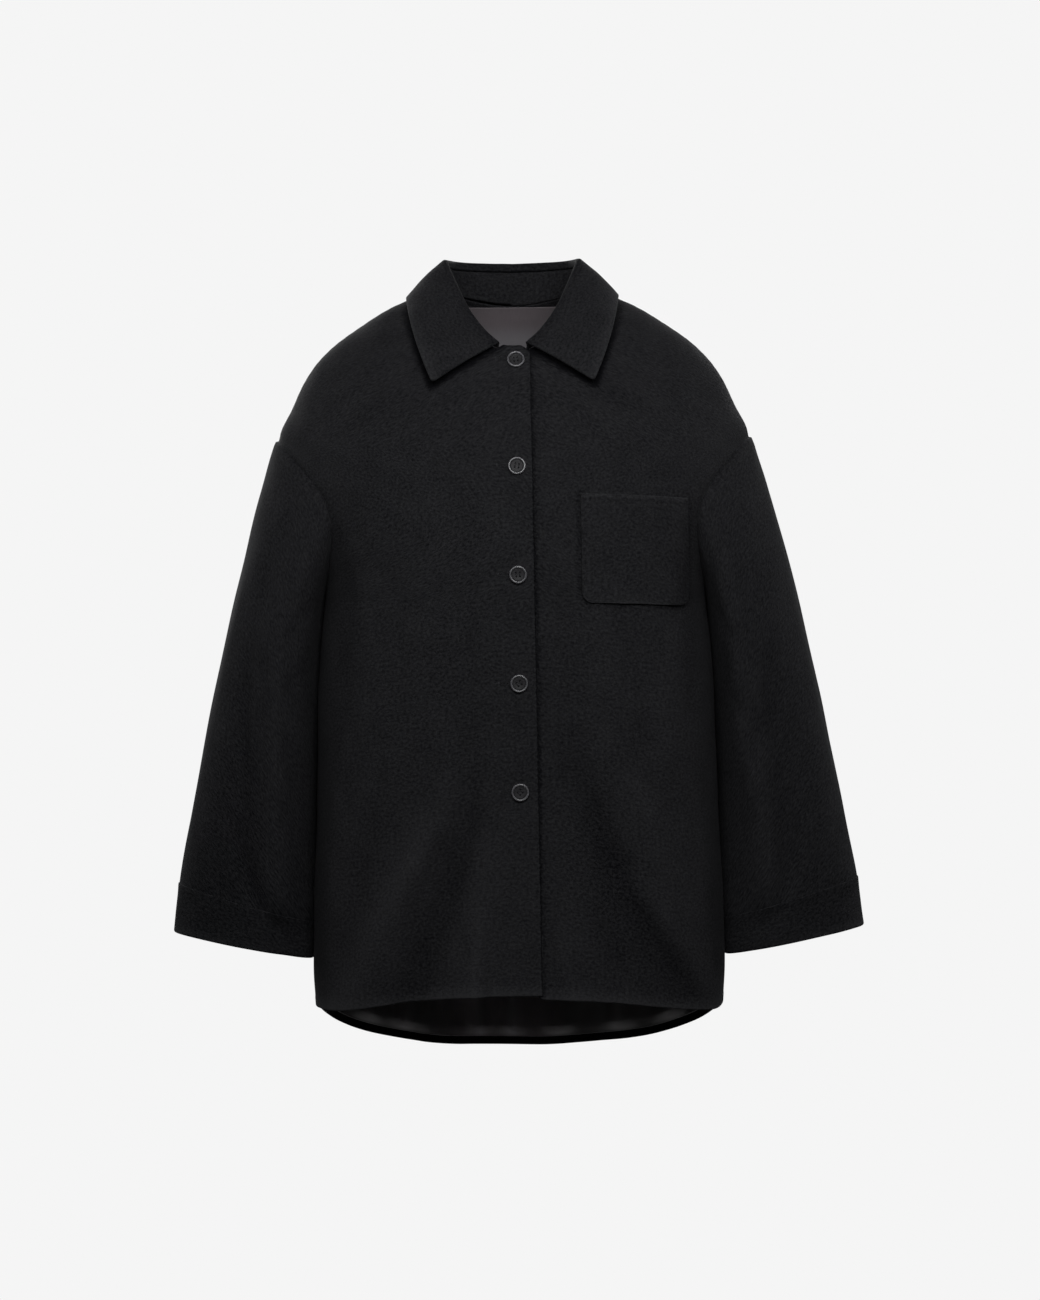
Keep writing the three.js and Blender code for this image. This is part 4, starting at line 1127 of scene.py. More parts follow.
def sleeve_point(turn, along):
    """Points of the left sleeve's plain outer surface."""
    turn, along = np.broadcast_arrays(turn, along)
    start_centre, start_u, start_w, _, _ = ring_frame(0 * along)
    centre, u, w, half_depth, own = ring_frame(along)
    seam = body_point(*armhole_place(turn)) - start_centre
    seam_u = dot(seam, start_u) / dot(start_u, start_u)
    seam_w = dot(seam, start_w)
    a = (turn * 2 * np.pi)[..., None]
    share_u = mix(seam_u, np.cos(a), own)
    depth = mix(seam[..., 1:2], -np.sin(a) * half_depth, own)
    point = centre + w * mix(seam_w, 0.0, own) + u * share_u
    point[..., 1] += depth[..., 0]
    return point


def sleeve_normal(turn, along):
    """Directions out of the left sleeve's plain surface."""
    step = 0.006
    around = sleeve_point(turn + step, along) - sleeve_point(turn - step, along)
    down = sleeve_point(turn, np.minimum(along + step, 1)) - sleeve_point(turn, np.maximum(along - step, 0))
    return unit(np.cross(around, down))


def round_folds(folds, turn, along):
    """Height of the folds round a sleeve."""
    total = np.zeros(np.broadcast(turn, along).shape)
    for fold_turn, fold_along, turn_width, along_width, height in zip(*folds.values()):
        across = np.mod(turn - fold_turn + 0.5, 1) - 0.5
        fall_off = (across / turn_width) ** 2 + ((along - fold_along) / along_width) ** 2
        total = total + height * np.exp(-fall_off)
    return total


def sleeve_folds(turn, along, side):
    """Height of a sleeve's folds and creases. A fold near the outer side is met from both directions."""
    strength = bpy.context.scene.jacket_cloth.crease_strength
    around = np.mod(turn, 1.0) * SLEEVE_ROUND
    down = along * SLEEVE_LENGTH
    fine = line_folds(SLEEVE_CREASES[side], around, down)
    fine = fine + line_folds(SLEEVE_CREASES[side], around - SLEEVE_ROUND, down)
    fine = fine + line_folds(SLEEVE_CREASES[side], around + SLEEVE_ROUND, down)
    return round_folds(SLEEVE_FOLDS, turn, along) + strength * fine


def sleeve_relief(turn, along, side):
    """The sleeve's folds and creases with the slow waves of its cloth."""
    slow = waves(turn * SLEEVE_ROUND + WAVE_SHIFT[side], along * SLEEVE_LENGTH)
    inner = np.exp(-(((np.mod(turn, 1.0) - 0.5) / SIDE_PRESS["turn_width"]) ** 2))
    slow = slow * smooth(along / 0.2) * (1 - inner)
    press = SIDE_PRESS["height"] * smooth((along - SIDE_PRESS["start"]) / SIDE_PRESS["over"])
    return sleeve_folds(turn, along, side) + slow + press * inner


def seam_frame(turn):
    """The armhole seam's own directions: out of the cloth, and away from the panel into the sleeve."""
    step = 0.02
    point = body_point(*armhole_place(turn))
    before = body_point(*armhole_place(turn - step))
    after = body_point(*armhole_place(turn + step))
    normal = body_normal(*armhole_place(turn))
    return point, normal, unit(np.cross(normal, after - before))


def sleeve_grid(step, side, end=1.0):
    """The left sleeve's outer grid, from the armhole to the wrist. The cloth folds over at the seam."""
    count = round(LENGTHS["sleeve_round"] / step)
    turns = np.arange(count) / count
    seam, seam_normal, away = seam_frame(turns)
    start = seam - away * SLEEVE_TUCK
    first = sleeve_point(turns, FIRST_RING)
    first = first + sleeve_normal(turns, FIRST_RING) * sleeve_relief(turns, FIRST_RING, side)[:, None]
    later = sleeve_point(turns, SLEEVE_JOIN * FIRST_RING)
    length = np.linalg.norm(first - start, axis=-1, keepdims=True)
    leave = away * length * SLEEVE_FOLD_OVER
    arrive = unit(later - first) * length
    rings = []
    shares = np.array(SLEEVE_START)
    for t in shares:
        bends = leave * (t**3 - 2 * t**2 + t) + arrive * (t**3 - t**2)
        rings.append(mix(start, first, 3 * t**2 - 2 * t**3) + bends)
    alongs = np.linspace(FIRST_RING, end, round(LENGTHS["sleeve"] / step))[:, None]
    relief = sleeve_relief(turns[None], alongs, side)
    below = sleeve_point(turns[None], alongs)
    below = below + sleeve_normal(turns[None], alongs) * relief[..., None]
    places = np.concatenate([shares[:, None] * FIRST_RING, alongs])
    return np.concatenate([np.array(rings), below]), turns, places, seam_normal


class JACKET_OT_make_sleeves(bpy.types.Operator):
    """Make the two sleeves, which hang from the drop shoulders"""

    bl_idname = "jacket.make_sleeves"
    bl_label = "Make Sleeves"

    def execute(self, context):
        step = context.scene.jacket_cloth.grid_step / MM
        _, sewn = radii(context)
        end = cuff_along(CUFF["turn_in"])
        for side in ("left", "right"):
            base, turns, alongs, seam_normal = sleeve_grid(step, side, end)
            grain = closed_grain(base)
            armhole = grain[..., 1]
            leaving = smooth(armhole / SLEEVE_TURN)[..., None]
            normal = unit(mix(seam_normal[None], -grid_normals(base, closed=True), leaving))
            wrist = armhole[-1:] - armhole
            fall = np.maximum(edge_drop(armhole, sewn), edge_drop(wrist, sewn))
            relief = pucker(armhole, turns[None] * LENGTHS["sleeve_round"]) * smooth(armhole / 3)
            relief = relief + underarm_seam(turns[None], armhole)
            outer = base + normal * (relief - fall)[..., None]
            inner = base + normal * (relief - CLOTH + fall)[..., None]
            # Painted light and shade on the sleeve's folds, and painted shade low on its front.
            painted_light = fold_light_and_shade(sleeve_folds(turns[None], alongs, side))
            painted_light = painted_light + round_folds(SLEEVE_PAINTED_SHADE[side], turns[None], alongs)
            if side == "right":
                outer, inner = mirror(outer), mirror(inner)
                grain, painted_light = grain[:, ::-1], painted_light[:, ::-1]
            piece = cloth_mesh(f"sleeve_{side}_cloth", outer, inner, grain, painted_light, closed=True)
            seat(piece, "wool", f"sleeve_{side}")
            dress(piece, wool_material())
        return {"FINISHED"}


def closed_grain(points):
    """Places along a closed tube's cloth, round it and down it."""
    around = reach_along(points, 1)
    down = reach_along(points, 0)
    return np.stack([around, down], axis=-1)


def underarm_seam(turn, armhole):
    """The groove of the seam that closes the sleeve, on its inner side."""
    form = UNDERARM_SEAM
    away = np.abs(np.mod(turn - form["turn"] + 0.5, 1) - 0.5) * SLEEVE_ROUND
    return -form["depth"] * np.exp(-((away / form["width"]) ** 2)) * smooth(armhole / form["start"])


def cuff_along(height):
    """The place along the sleeve that lies a height above the wrist, measured on the outer side."""
    alongs = np.linspace(1, 0.5, 101)
    centre, u, _, _, _ = ring_frame(alongs)
    outer = centre + u
    reach = np.linalg.norm(outer - outer[0], axis=-1)
    return float(np.interp(height, reach, alongs))


class JACKET_OT_make_cuffs(bpy.types.Operator):
    """Make the turned-back cuffs, each a band that folds round the wrist into the sleeve"""

    bl_idname = "jacket.make_cuffs"
    bl_label = "Make Cuffs"

    def execute(self, context):
        step = context.scene.jacket_cloth.grid_step / MM
        free, _ = radii(context)
        count = round(LENGTHS["cuff_round"] / step)
        turns = (np.arange(count) / count)[None]
        outside = CUFF["gap"] + CUFF_CLOTH
        fold_radius = (outside + CLOTH) / 2
        for side in ("left", "right"):
            ring = {"outer": [], "inner": []}

            def place(along, out, into, down=0.0, shift=0.0):
                """Adds a ring at two offsets from the sleeve's surface, moved down past the wrist."""
                point = sleeve_point(turns, along)[0]
                normal = sleeve_normal(turns, along)[0]
                relief = sleeve_relief(turns, along, side)[0][:, None]
                below = unit(sleeve_point(turns, 1.0)[0] - sleeve_point(turns, 0.97)[0])
                ring["outer"].append(point + normal * (relief + out) + below * down)
                ring["inner"].append(point + normal * (relief + into) + below * shift)

            heights = CUFF["height"] - border_lines(CUFF["height"] - fold_radius, step, end=())
            for height in heights:
                fall = edge_drop(CUFF["height"] - height, FULL_ROUND * CUFF_CLOTH)
                lift = cuff_top_lift(CUFF["height"] - height)
                place(cuff_along(height), outside + lift - fall, CUFF["gap"] + lift + fall)
            bottom = cuff_along(fold_radius)
            middle = outside - fold_radius
            big, small = fold_radius, CUFF["gap"] / 2
            for a in CUFF_FOLD_ANGLES:
                out, into = middle + big * np.cos(a), small * (1 + np.cos(a))
                place(bottom, out, into, big * np.sin(a), small * np.sin(a))
            for height in np.linspace(fold_radius, CUFF["turn_in"] - 0.3, CUFF_INNER_RINGS):
                place(cuff_along(height), -CLOTH, 0.0)
            outer = np.array(ring["outer"])
            inner = np.array(ring["inner"])
            grain = closed_grain(outer)
            top = grain[..., 1]
            bottom_edge = np.abs(top - CUFF["height"])
            if side == "right":
                outer, inner, grain = mirror(outer), mirror(inner), grain[:, ::-1]
            # A painted highlight along the cuff's fold at the wrist, and the cuff's painted shade.
            painted_light = edge_highlight(bottom_edge) + CUFF_PAINTED_SHADE[side]
            piece = cloth_mesh(f"cuff_{side}_cloth", outer, inner, grain, painted_light, closed=True)
            seat(piece, "wool", f"cuff_{side}")
            dress(piece, wool_material())
        return {"FINISHED"}


def cuff_top_lift(distance):
    """The cuff's free upper edge stands off the sleeve a little."""
    return CUFF["lift"] * np.exp(-((distance / CUFF["lift_reach"]) ** 2))


COLLAR_CURVES = {name: table_curve(COLLAR, "turn", name) for name in COLLAR if name != "turn"}


def collar_curve(name, turn):
    """Points of one of the collar's two lines: its roll or its edge."""
    return np.stack([COLLAR_CURVES[f"{name}_{axis}"](turn) for axis in "xyz"], -1)


def neck_edges(step):
    """The neck edges of a front and of half the back, from the centre to the shoulder."""
    lines = {}
    for side, edge in ((FRONT, under_edge), (BACK, centre_edge)):
        angle, z = half_panel(side, edge, step)
        lines[side] = body_point(angle[-1], z[-1]), body_normal(angle[-1], z[-1])
    return lines


def collar_seam(turn, lines):
    """The collar's neck seam on the left: turn 0 is its front end, 0.5 the shoulder and 1 the back."""
    end_turn = math.asin(COLLAR["roll_x"][0] / NECK["half_width"]) * 2 / math.pi
    front_share = mix(end_turn, 1, np.clip(2 * turn, 0, 1) ** COLLAR_FORM["ease"])
    share = np.where(turn < 0.5, front_share, (1 - turn) * 2)
    x = NECK["half_width"] * np.sin(share * math.pi / 2)
    found = []
    for kind in (0, 1):
        on_front = np.stack([np.interp(x, lines[FRONT][0][:, 0], c) for c in lines[FRONT][kind].T], -1)
        on_back = np.stack([np.interp(x, lines[BACK][0][:, 0], c) for c in lines[BACK][kind].T], -1)
        found.append(np.where((turn < 0.5)[:, None], on_front, on_back))
    return found[0], unit(found[1])


def collar_half(turn, rise, lines):
    """Sections of the collar's left half: the stand's two faces, and the fall's face and its normal."""
    step = 0.02
    low = np.maximum(turn - step, 0)
    high = np.minimum(turn + step, 1)
    roll = collar_curve("roll", turn)
    tangent = collar_curve("roll", high) - collar_curve("roll", low)
    level = smooth((1 - turn) / step)[:, None]
    tangent = unit(tangent * np.concatenate([np.ones_like(level), level, level], axis=1))
    outward = unit(np.cross(tangent, np.array([0.0, 0.0, 1.0])))
    upward = np.cross(outward, tangent)
    edge = collar_curve("edge", turn)
    leaf_normal = unit(np.cross(edge - roll, tangent))
    radius = COLLAR_FORM["roll_radius"]
    centre = roll - upward * radius
    point, normal = collar_seam(turn, lines)
    point = point + normal * rise(point[:, 0])[:, None]
    away = unit(np.cross(collar_seam(high, lines)[0] - collar_seam(low, lines)[0], normal))
    away = np.where(away[:, 2:] < 0, -away, away)
    seam_inner = point + away * NECK_SEAM_GAP - normal * CLOTH
    leg_top = centre - outward * radius
    height = np.linalg.norm(leg_top - seam_inner, axis=1, keepdims=True)
    leg = np.minimum(COLLAR_FORM["inner_leg"], height * COLLAR_FORM["leg_share"])
    down = unit(seam_inner - leg_top)

    stand_inside = []
    stand_outside = []
    for t in np.linspace(0, 1, COLLAR_GRID["stand_rows"]):
        share = mix((leg + SEAM_GAP) / height, 1, t)
        inside = mix(leg_top, seam_inner, share)
        stand_inside.append(inside)
        stand_outside.append(inside + unit(mix(outward, normal, share**3)) * CLOTH)

    face = []
    face_normal = []
    for t in np.linspace(1, 0, COLLAR_GRID["leg_rows"])[:-1]:
        face.append(leg_top + down * leg * t)
        face_normal.append(-outward)
    leaf_angle = np.arctan2(dot(leaf_normal, upward), dot(leaf_normal, outward))
    for t in np.linspace(0, 1, COLLAR_GRID["roll_rows"]):
        angle = mix(np.pi, leaf_angle, t)
        direction = outward * np.cos(angle) + upward * np.sin(angle)
        face.append(centre + direction * radius)
        face_normal.append(direction)
    leaf_start = face[-1]
    leaf_length = float(np.median(np.linalg.norm(edge - leaf_start, axis=1)))
    for t in border_lines(leaf_length, COLLAR_GRID["leaf"], start=())[1:] / leaf_length:
        face.append(mix(leaf_start, edge, t) + leaf_normal * COLLAR_FORM["bow"] * np.sin(np.pi * t))
        face_normal.append(leaf_normal)
    return [np.array(part) for part in (stand_inside, stand_outside, face, face_normal)]


def round_corner(points, along_row, along_column, radius):
    """Pulls a grid's corner in to a round one, within a radius of the two borders that meet there."""
    p = np.clip(radius - along_row, 0, radius)
    q = np.clip(radius - along_column, 0, radius)
    longest = np.maximum(p, q)
    shrink = 1 - longest / np.maximum(np.hypot(p, q), 1e-9)
    row_direction = unit(np.gradient(points, axis=1))
    column_direction = unit(np.gradient(points, axis=0))
    row_sign = np.sign(np.gradient(along_row, axis=1))[..., None]
    column_sign = np.sign(np.gradient(along_column, axis=0))[..., None]
    inside = ((p > 0) & (q > 0))[..., None]
    move = row_direction * row_sign * (p * shrink)[..., None]
    move = move + column_direction * column_sign * (q * shrink)[..., None]
    return np.where(inside, move, 0.0)


class JACKET_OT_make_collar(bpy.types.Operator):
    """Make the collar: a stand round the neck and the turned-down part over it"""

    bl_idname = "jacket.make_collar"
    bl_label = "Make Collar"

    def execute(self, context):
        step = context.scene.jacket_cloth.grid_step / MM
        free, sewn = radii(context)
        lines = neck_edges(step)
        around = LENGTHS["half_collar"]
        left_turn = border_lines(around, COLLAR_GRID["round"], end=()) / around
        left = collar_half(left_turn, np.zeros_like, lines)
        right = collar_half(left_turn[:-1], overlap_rise, lines)
        whole = []
        for left_part, right_part in zip(left, right):
            whole.append(np.concatenate([left_part, mirror(right_part)], axis=1)[::-1])
        stand_inside, stand_outside, face, face_normal = whole

        borders = dict.fromkeys(BORDERS, sewn)
        middle = (stand_inside + stand_outside) / 2
        fall = rounded(border_distances(middle), borders)[..., None] / CLOTH
        outer = mix(stand_outside, stand_inside, fall)
        inner = mix(stand_inside, stand_outside, fall)
        stand = cloth_mesh("collar_stand_cloth", outer, inner, grain_of(middle))
        seat(stand, "wool", "collar_stand")
        dress(stand, wool_material())

        distances = border_distances(face)
        corner = context.scene.jacket_cloth.collar_corner / MM
        moved = face + round_corner(face, distances["start"], distances["bottom"], corner)
        moved = moved + round_corner(face, distances["end"], distances["bottom"], corner)
        free = min(free * COLLAR_CLOTH / CLOTH, FULL_ROUND * COLLAR_CLOTH)
        fall = rounded(distances, {"start": free, "end": free, "bottom": free, "top": sewn})
        grain = grain_of(face)
        across, along = WAVE_SCALE["collar"]
        calm = smooth(distances["top"] / SEAM_CALM)
        relief = 0.6 * waves(grain[..., 0] * across, grain[..., 1] * along) * calm
        outer = moved + face_normal * (relief - fall)[..., None]
        inner = moved + face_normal * (relief - COLLAR_CLOTH + fall)[..., None]
        # A painted highlight along the fall's free edge, painted shade in the hollow by the roll, and a dark
        # painted line where the fall meets the stand.
        seam = EDGE_SHADE["fold_line"]
        from_hollow = (distances["top"] - COLLAR_PAINTED_LIGHT["hollow_at"]) / COLLAR_PAINTED_LIGHT["hollow_width"]
        painted_light = COLLAR_PAINTED_LIGHT["edge"] * edge_highlight(distances["bottom"])
        painted_light = painted_light + COLLAR_PAINTED_LIGHT["hollow"] * np.exp(-(from_hollow**2))
        painted_light = painted_light + seam["amount"] * np.exp(-((distances["top"] / seam["width"]) ** 2))
        piece = cloth_mesh("collar_fall_cloth", outer, inner, grain, painted_light)
        seat(piece, "wool", "collar_fall")
        dress(piece, wool_material())
        return {"FINISHED"}


class JACKET_OT_make_pocket(bpy.types.Operator):
    """Make the patch pocket on the wearer's left front"""

    bl_idname = "jacket.make_pocket"
    bl_label = "Make Pocket"

    def execute(self, context):
        free, _ = radii(context)
        radius = POCKET["radius"]
        height = POCKET["top"] - POCKET["bottom"]
        up = border_lines(height, POCKET_GRID["up"])
        z = POCKET["bottom"] + up
        low = np.clip(radius - up, 0, radius)
        cut = radius - np.sqrt(radius**2 - low**2)
        x = []
        for inset in cut:
            width = POCKET["right"] - POCKET["left"] - 2 * inset
            lines = border_lines(width, width / POCKET_GRID["across"])
            shares = np.linspace(0, 1, POCKET_GRID["columns"])
            lines = np.interp(shares, np.linspace(0, 1, len(lines)), lines)
            x.append(POCKET["left"] + inset + lines)
        x = np.array(x)
        slanted = z[:, None] - POCKET["slant"] * (x - POCKET["left"])
        angle = angle_at(x, slanted, FRONT)
        base = body_point(angle, slanted)
        normal = body_normal(angle, slanted)
        distances = border_distances(base)
        side = np.minimum(distances["start"], distances["end"])
        edge = np.minimum(side, distances["bottom"])
        form = POCKET_FORM
        full = smooth(edge / form["full_from"])
        gape = form["gape"] * full * np.exp(-((distances["top"] / form["gape_depth"]) ** 2))
        across, along = WAVE_SCALE["pocket"]
        stand_off = POCKET_GAP + gape
        stand_off = stand_off + form["stand_off"] * full
        stand_off = stand_off + form["waves"] * waves(x * across, slanted * along) * full
        radii_by_border = {"start": free, "end": free, "bottom": free, "top": FULL_ROUND * CLOTH}
        fall = rounded(distances, radii_by_border)
        turned = band(distances["top"], POCKET_BAND)
        from_stitches = (edge - POCKET_STITCH["from_edge"]) / POCKET_STITCH["width"]
        stitched = -POCKET_STITCH["depth"] * np.exp(-(from_stitches**2)) * smooth(distances["top"] / 6)
        outer = base + normal * (stand_off + CLOTH + turned + stitched - fall)[..., None]
        inside = np.maximum(stand_off - form["stand_off"] * full, POCKET_GAP / 2)
        inner = base + normal * (inside + fall)[..., None]
        # A painted highlight along the top and bottom edges, and a broken dark line along the stitching below
        # the top.
        sewn = EDGE_SHADE["stitches"]
        broken = 0.55 + 0.45 * np.sin(1.1 * x + 1.5 * np.sin(0.31 * x))
        line = np.exp(-(((distances["top"] - sewn["from_edge"]) / sewn["width"]) ** 2))
        painted_light = 0.5 * edge_highlight(distances["top"], distances["bottom"]) + sewn["amount"] * line * broken
        piece = cloth_mesh("pocket_cloth", outer, inner, grain_of(base), painted_light)
        seat(piece, "wool", "pocket")
        dress(piece, wool_material())
        return {"FINISHED"}


def lathe(profile, sides):
    """Points and faces of a closed round form about Z, from a profile that starts and ends on the axis."""
    ring_angles = 2 * np.pi * np.arange(sides) / sides
    points = [(0.0, 0.0, profile[0][1])]
    for radius, height in profile[1:-1]:
        points += [(radius * math.cos(a), radius * math.sin(a), height) for a in ring_angles]
    points.append((0.0, 0.0, profile[-1][1]))
    faces = [(0, 1 + (i + 1) % sides, 1 + i) for i in range(sides)]
    for ring in range(len(profile) - 3):
        low = 1 + ring * sides
        high = low + sides
        for i in range(sides):
            k = (i + 1) % sides
            faces.append((low + i, low + k, high + k, high + i))
    last = 1 + (len(profile) - 3) * sides
    top = len(points) - 1
    faces += [(last + i, last + (i + 1) % sides, top) for i in range(sides)]
    return points, faces


def arc(centre_x, centre_z, radius, start, end, steps=6):
    """Points of an arc in a profile, with angles in degrees."""
    angles = np.radians(np.linspace(start, end, steps))
    return [(centre_x + radius * math.cos(a), centre_z + radius * math.sin(a)) for a in angles]


def new_object(name, points, faces):
    """A mesh object in the scene."""
    mesh = bpy.data.meshes.new(name)
    mesh.from_pydata([tuple(point) for point in points], [], faces)
    mesh.update()
    piece = bpy.data.objects.new(name, mesh)
    bpy.context.scene.collection.objects.link(piece)
    return piece


def tubes(routes, radius, sides=6):
    """Points and faces of closed round threads along routes, joined in one list."""
    points = []
    faces = []
    for route in routes:
        route = np.asarray(route, float)
        tangent = unit(np.gradient(route, axis=0))
        helper = np.array([0.31, 0.22, 0.92])
        first = unit(np.cross(tangent, helper))
        second = np.cross(tangent, first)
        start = len(points)
        for point, one, two in zip(route, first, second):
            for k in range(sides):
                a = 2 * math.pi * k / sides
                points.append(point + radius * (one * math.cos(a) + two * math.sin(a)))
        for ring in range(len(route) - 1):
            low = start + ring * sides
            for k in range(sides):
                n = (k + 1) % sides
                faces.append((low + k, low + n, low + sides + n, low + sides + k))
        faces.append(tuple(start + k for k in reversed(range(sides))))
        last = start + (len(route) - 1) * sides
        faces.append(tuple(last + k for k in range(sides)))
    return points, faces


def surface_normal(centre):
    """The direction out of the front's surface at a point in metres."""
    x, _, z = (value / MM for value in centre)
    angle = angle_at(np.array(x), np.array(z), FRONT)
    return Vector(body_normal(angle, np.array(z)))


BUTTON_FORM = {
    "rim": 2.2,
    "crown": 1.25,
    "bevel": 0.8,
    "edge": 0.55,
    "dish": 1.15,
    "lip": 0.1,
    "hollow": 0.5,
    "hole_circle": 5.4,
    "hole": 1.8,
    "dish_edge": 0.9,
    "sharp_from": 38,
}
# The sewing over a button: how far along each stitch lies from its pair's middle, and how high.
STITCHES = ((-1.0, 0.26), (-0.33, 0.4), (0.33, 0.34), (1.0, 0.24))
SHANK = {"radius": 1.6, "turns": 4, "points": 72, "depth": 1.1}
THREAD_RADIUS = 0.19
BUTTON_DROOP = math.radians(5)
BUTTON_TURNS = (8, -12, 4, 31, 44)  # degrees that each button is turned, from the top


def button_profile(radius, thickness):
    """A button's section: a flat back, a round edge, a domed rim and a dished middle."""
    form = BUTTON_FORM
    edge = form["edge"]
    half_rim = form["rim"] / 2
    floor = thickness - form["dish"]
    inner = radius - form["rim"]
    profile = [(0.0, 0.0)]
    profile += arc(radius - form["bevel"], edge, edge, -90, -10)
    for a in np.radians(np.linspace(0, 172, 14)):
        across = radius - half_rim + half_rim * math.cos(a)
        profile.append((across, thickness - form["crown"] * (1 - math.sin(a))))
    profile += [(inner - 0.1, floor - 0.1), (inner - 0.5, floor - 0.3), (inner - form["dish_edge"], floor)]
    for share in (0.8, 0.6, 0.4, 0.2, 0.0):
        hollow = form["hollow"] * (1 - share**2)
        profile.append(((inner - form["dish_edge"]) * share, floor + form["lip"] * share - hollow))
    return profile


class JACKET_OT_make_buttons(bpy.types.Operator):
    """Make the horn buttons with a raised rim and four holes, and the thread that holds them"""

    bl_idname = "jacket.make_buttons"
    bl_label = "Make Buttons"

    def execute(self, context):
        settings = context.scene.jacket_buttons
        radius = settings.diameter / MM / 2
        thickness = settings.thickness / MM
        names = sorted(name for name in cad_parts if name.startswith("button_"))
        for name, turn in zip(names, BUTTON_TURNS):
            low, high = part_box(name)
            centre = (low + high) / 2
            normal = surface_normal(centre)
            upright = Vector((normal.x, normal.y, 0.0)).normalized()
            droop = min(1.0, BUTTON_DROOP / max(normal.angle(upright), 1e-6))
            normal = normal.lerp(upright, droop).normalized()
            place = normal.to_track_quat("Z", "Y").to_matrix().to_4x4()
            place.translation = centre - normal * settings.thickness / 2
            turned = place @ Euler((0, 0, math.radians(turn))).to_matrix().to_4x4()
            piece = self.button(f"{name}_horn", radius, thickness, settings.sides)
            piece.data.transform(turned)
            seat(piece, "button", name)
            sewing = self.thread(f"{name}_thread", thickness)
            sewing.data.transform(turned)
            seat(sewing, None)
            dress(sewing, thread_material())
        return {"FINISHED"}

    @staticmethod
    def button(name, radius, thickness, sides):
        """The button's disc with its four holes cut through."""
        points, faces = lathe(button_profile(radius, thickness), sides)
        disc = new_object(name, np.array(points) * MM, faces)
        cutters = []
        spot = BUTTON_FORM["hole_circle"] / 2
        for i in range(4):
            a = math.pi / 4 + i * math.pi / 2
            hole = BUTTON_FORM["hole"] / 2
            profile = [(0.0, -2.0), (hole, -2.0), (hole, thickness - 1.45), (hole + 0.28, thickness - 1.1)]
            profile += [(hole + 0.5, thickness + 2), (0.0, thickness + 2)]
            points, faces = lathe(profile, 28)
            centre = np.array([spot * math.cos(a), spot * math.sin(a), 0.0])
            cutters.append(new_object(f"hole_{i}", (np.array(points) + centre) * MM, faces))
        for cutter in cutters:
            cut = disc.modifiers.new(cutter.name, "BOOLEAN")
            cut.operation = "DIFFERENCE"
            cut.solver = "EXACT"
            cut.object = cutter
        bpy.context.view_layer.update()
        done = bpy.data.meshes.new_from_object(disc.evaluated_get(bpy.context.evaluated_depsgraph_get()))
        disc.modifiers.clear()
        disc.data = done
        done.name = name
        for cutter in cutters:
            bpy.data.objects.remove(cutter)
        done.polygons.foreach_set("use_smooth", np.ones(len(done.polygons), bool))
        done.set_sharp_from_angle(angle=math.radians(BUTTON_FORM["sharp_from"]))
        done.materials.clear()
        # The rim's colour is painted 1.6 times lighter, as a painted highlight, and the dish's 0.4 times, as
        # painted shade.
        done.materials.append(horn_material("button_horn", 1.6, (0.16, 0.26), 0.5))
        done.materials.append(horn_material("button_dish", 0.4, (0.4, 0.55), 0.08))
        dished = (radius - BUTTON_FORM["rim"]) * MM
        for face in done.polygons:
            face.material_index = int(face.center.xy.length < dished and face.normal.z > 0)
        return disc

    @staticmethod
    def thread(name, thickness):
        """Two pairs of stitches across the dish, and the wound shank under the button."""
        spot = BUTTON_FORM["hole_circle"] / 2 * math.sqrt(0.5)
        dish = thickness - BUTTON_FORM["dish"] - 0.25
        routes = []
        for x in (-spot, spot):
            for k, lift in STITCHES:
                t = np.linspace(0, 1, 15)
                y = mix(-spot - 0.25, spot + 0.25, t)
                dip = -1.7 * (np.abs(2 * t - 1) ** 7)
                z = dish + lift + 0.1 + dip
                routes.append(np.stack([x + k * 0.3 + 0 * t, y, z], -1))
        turns = np.linspace(0, 2 * np.pi * SHANK["turns"], SHANK["points"])
        height = mix(-SHANK["depth"], 0.0, turns / turns[-1])
        shank = np.stack([SHANK["radius"] * np.cos(turns), SHANK["radius"] * np.sin(turns), height], -1)
        points, faces = tubes([*routes, shank], THREAD_RADIUS)
        sewing = new_object(name, np.array(points) * MM, faces)
        sewing.data.polygons.foreach_set("use_smooth", np.ones(len(faces), bool))
        return sewing


BUTTONHOLE = {
    "half_width": 1.5,
    "slit": 0.28,
    "pitch": 0.55,
    "height": 0.42,
    "thread": 0.22,
    "sunk": 0.12,
    "past_button": 2.0,
    "bar_gap": 0.35,
    "bar_pitch": 0.27,
    "bar_stitches": 7,
}


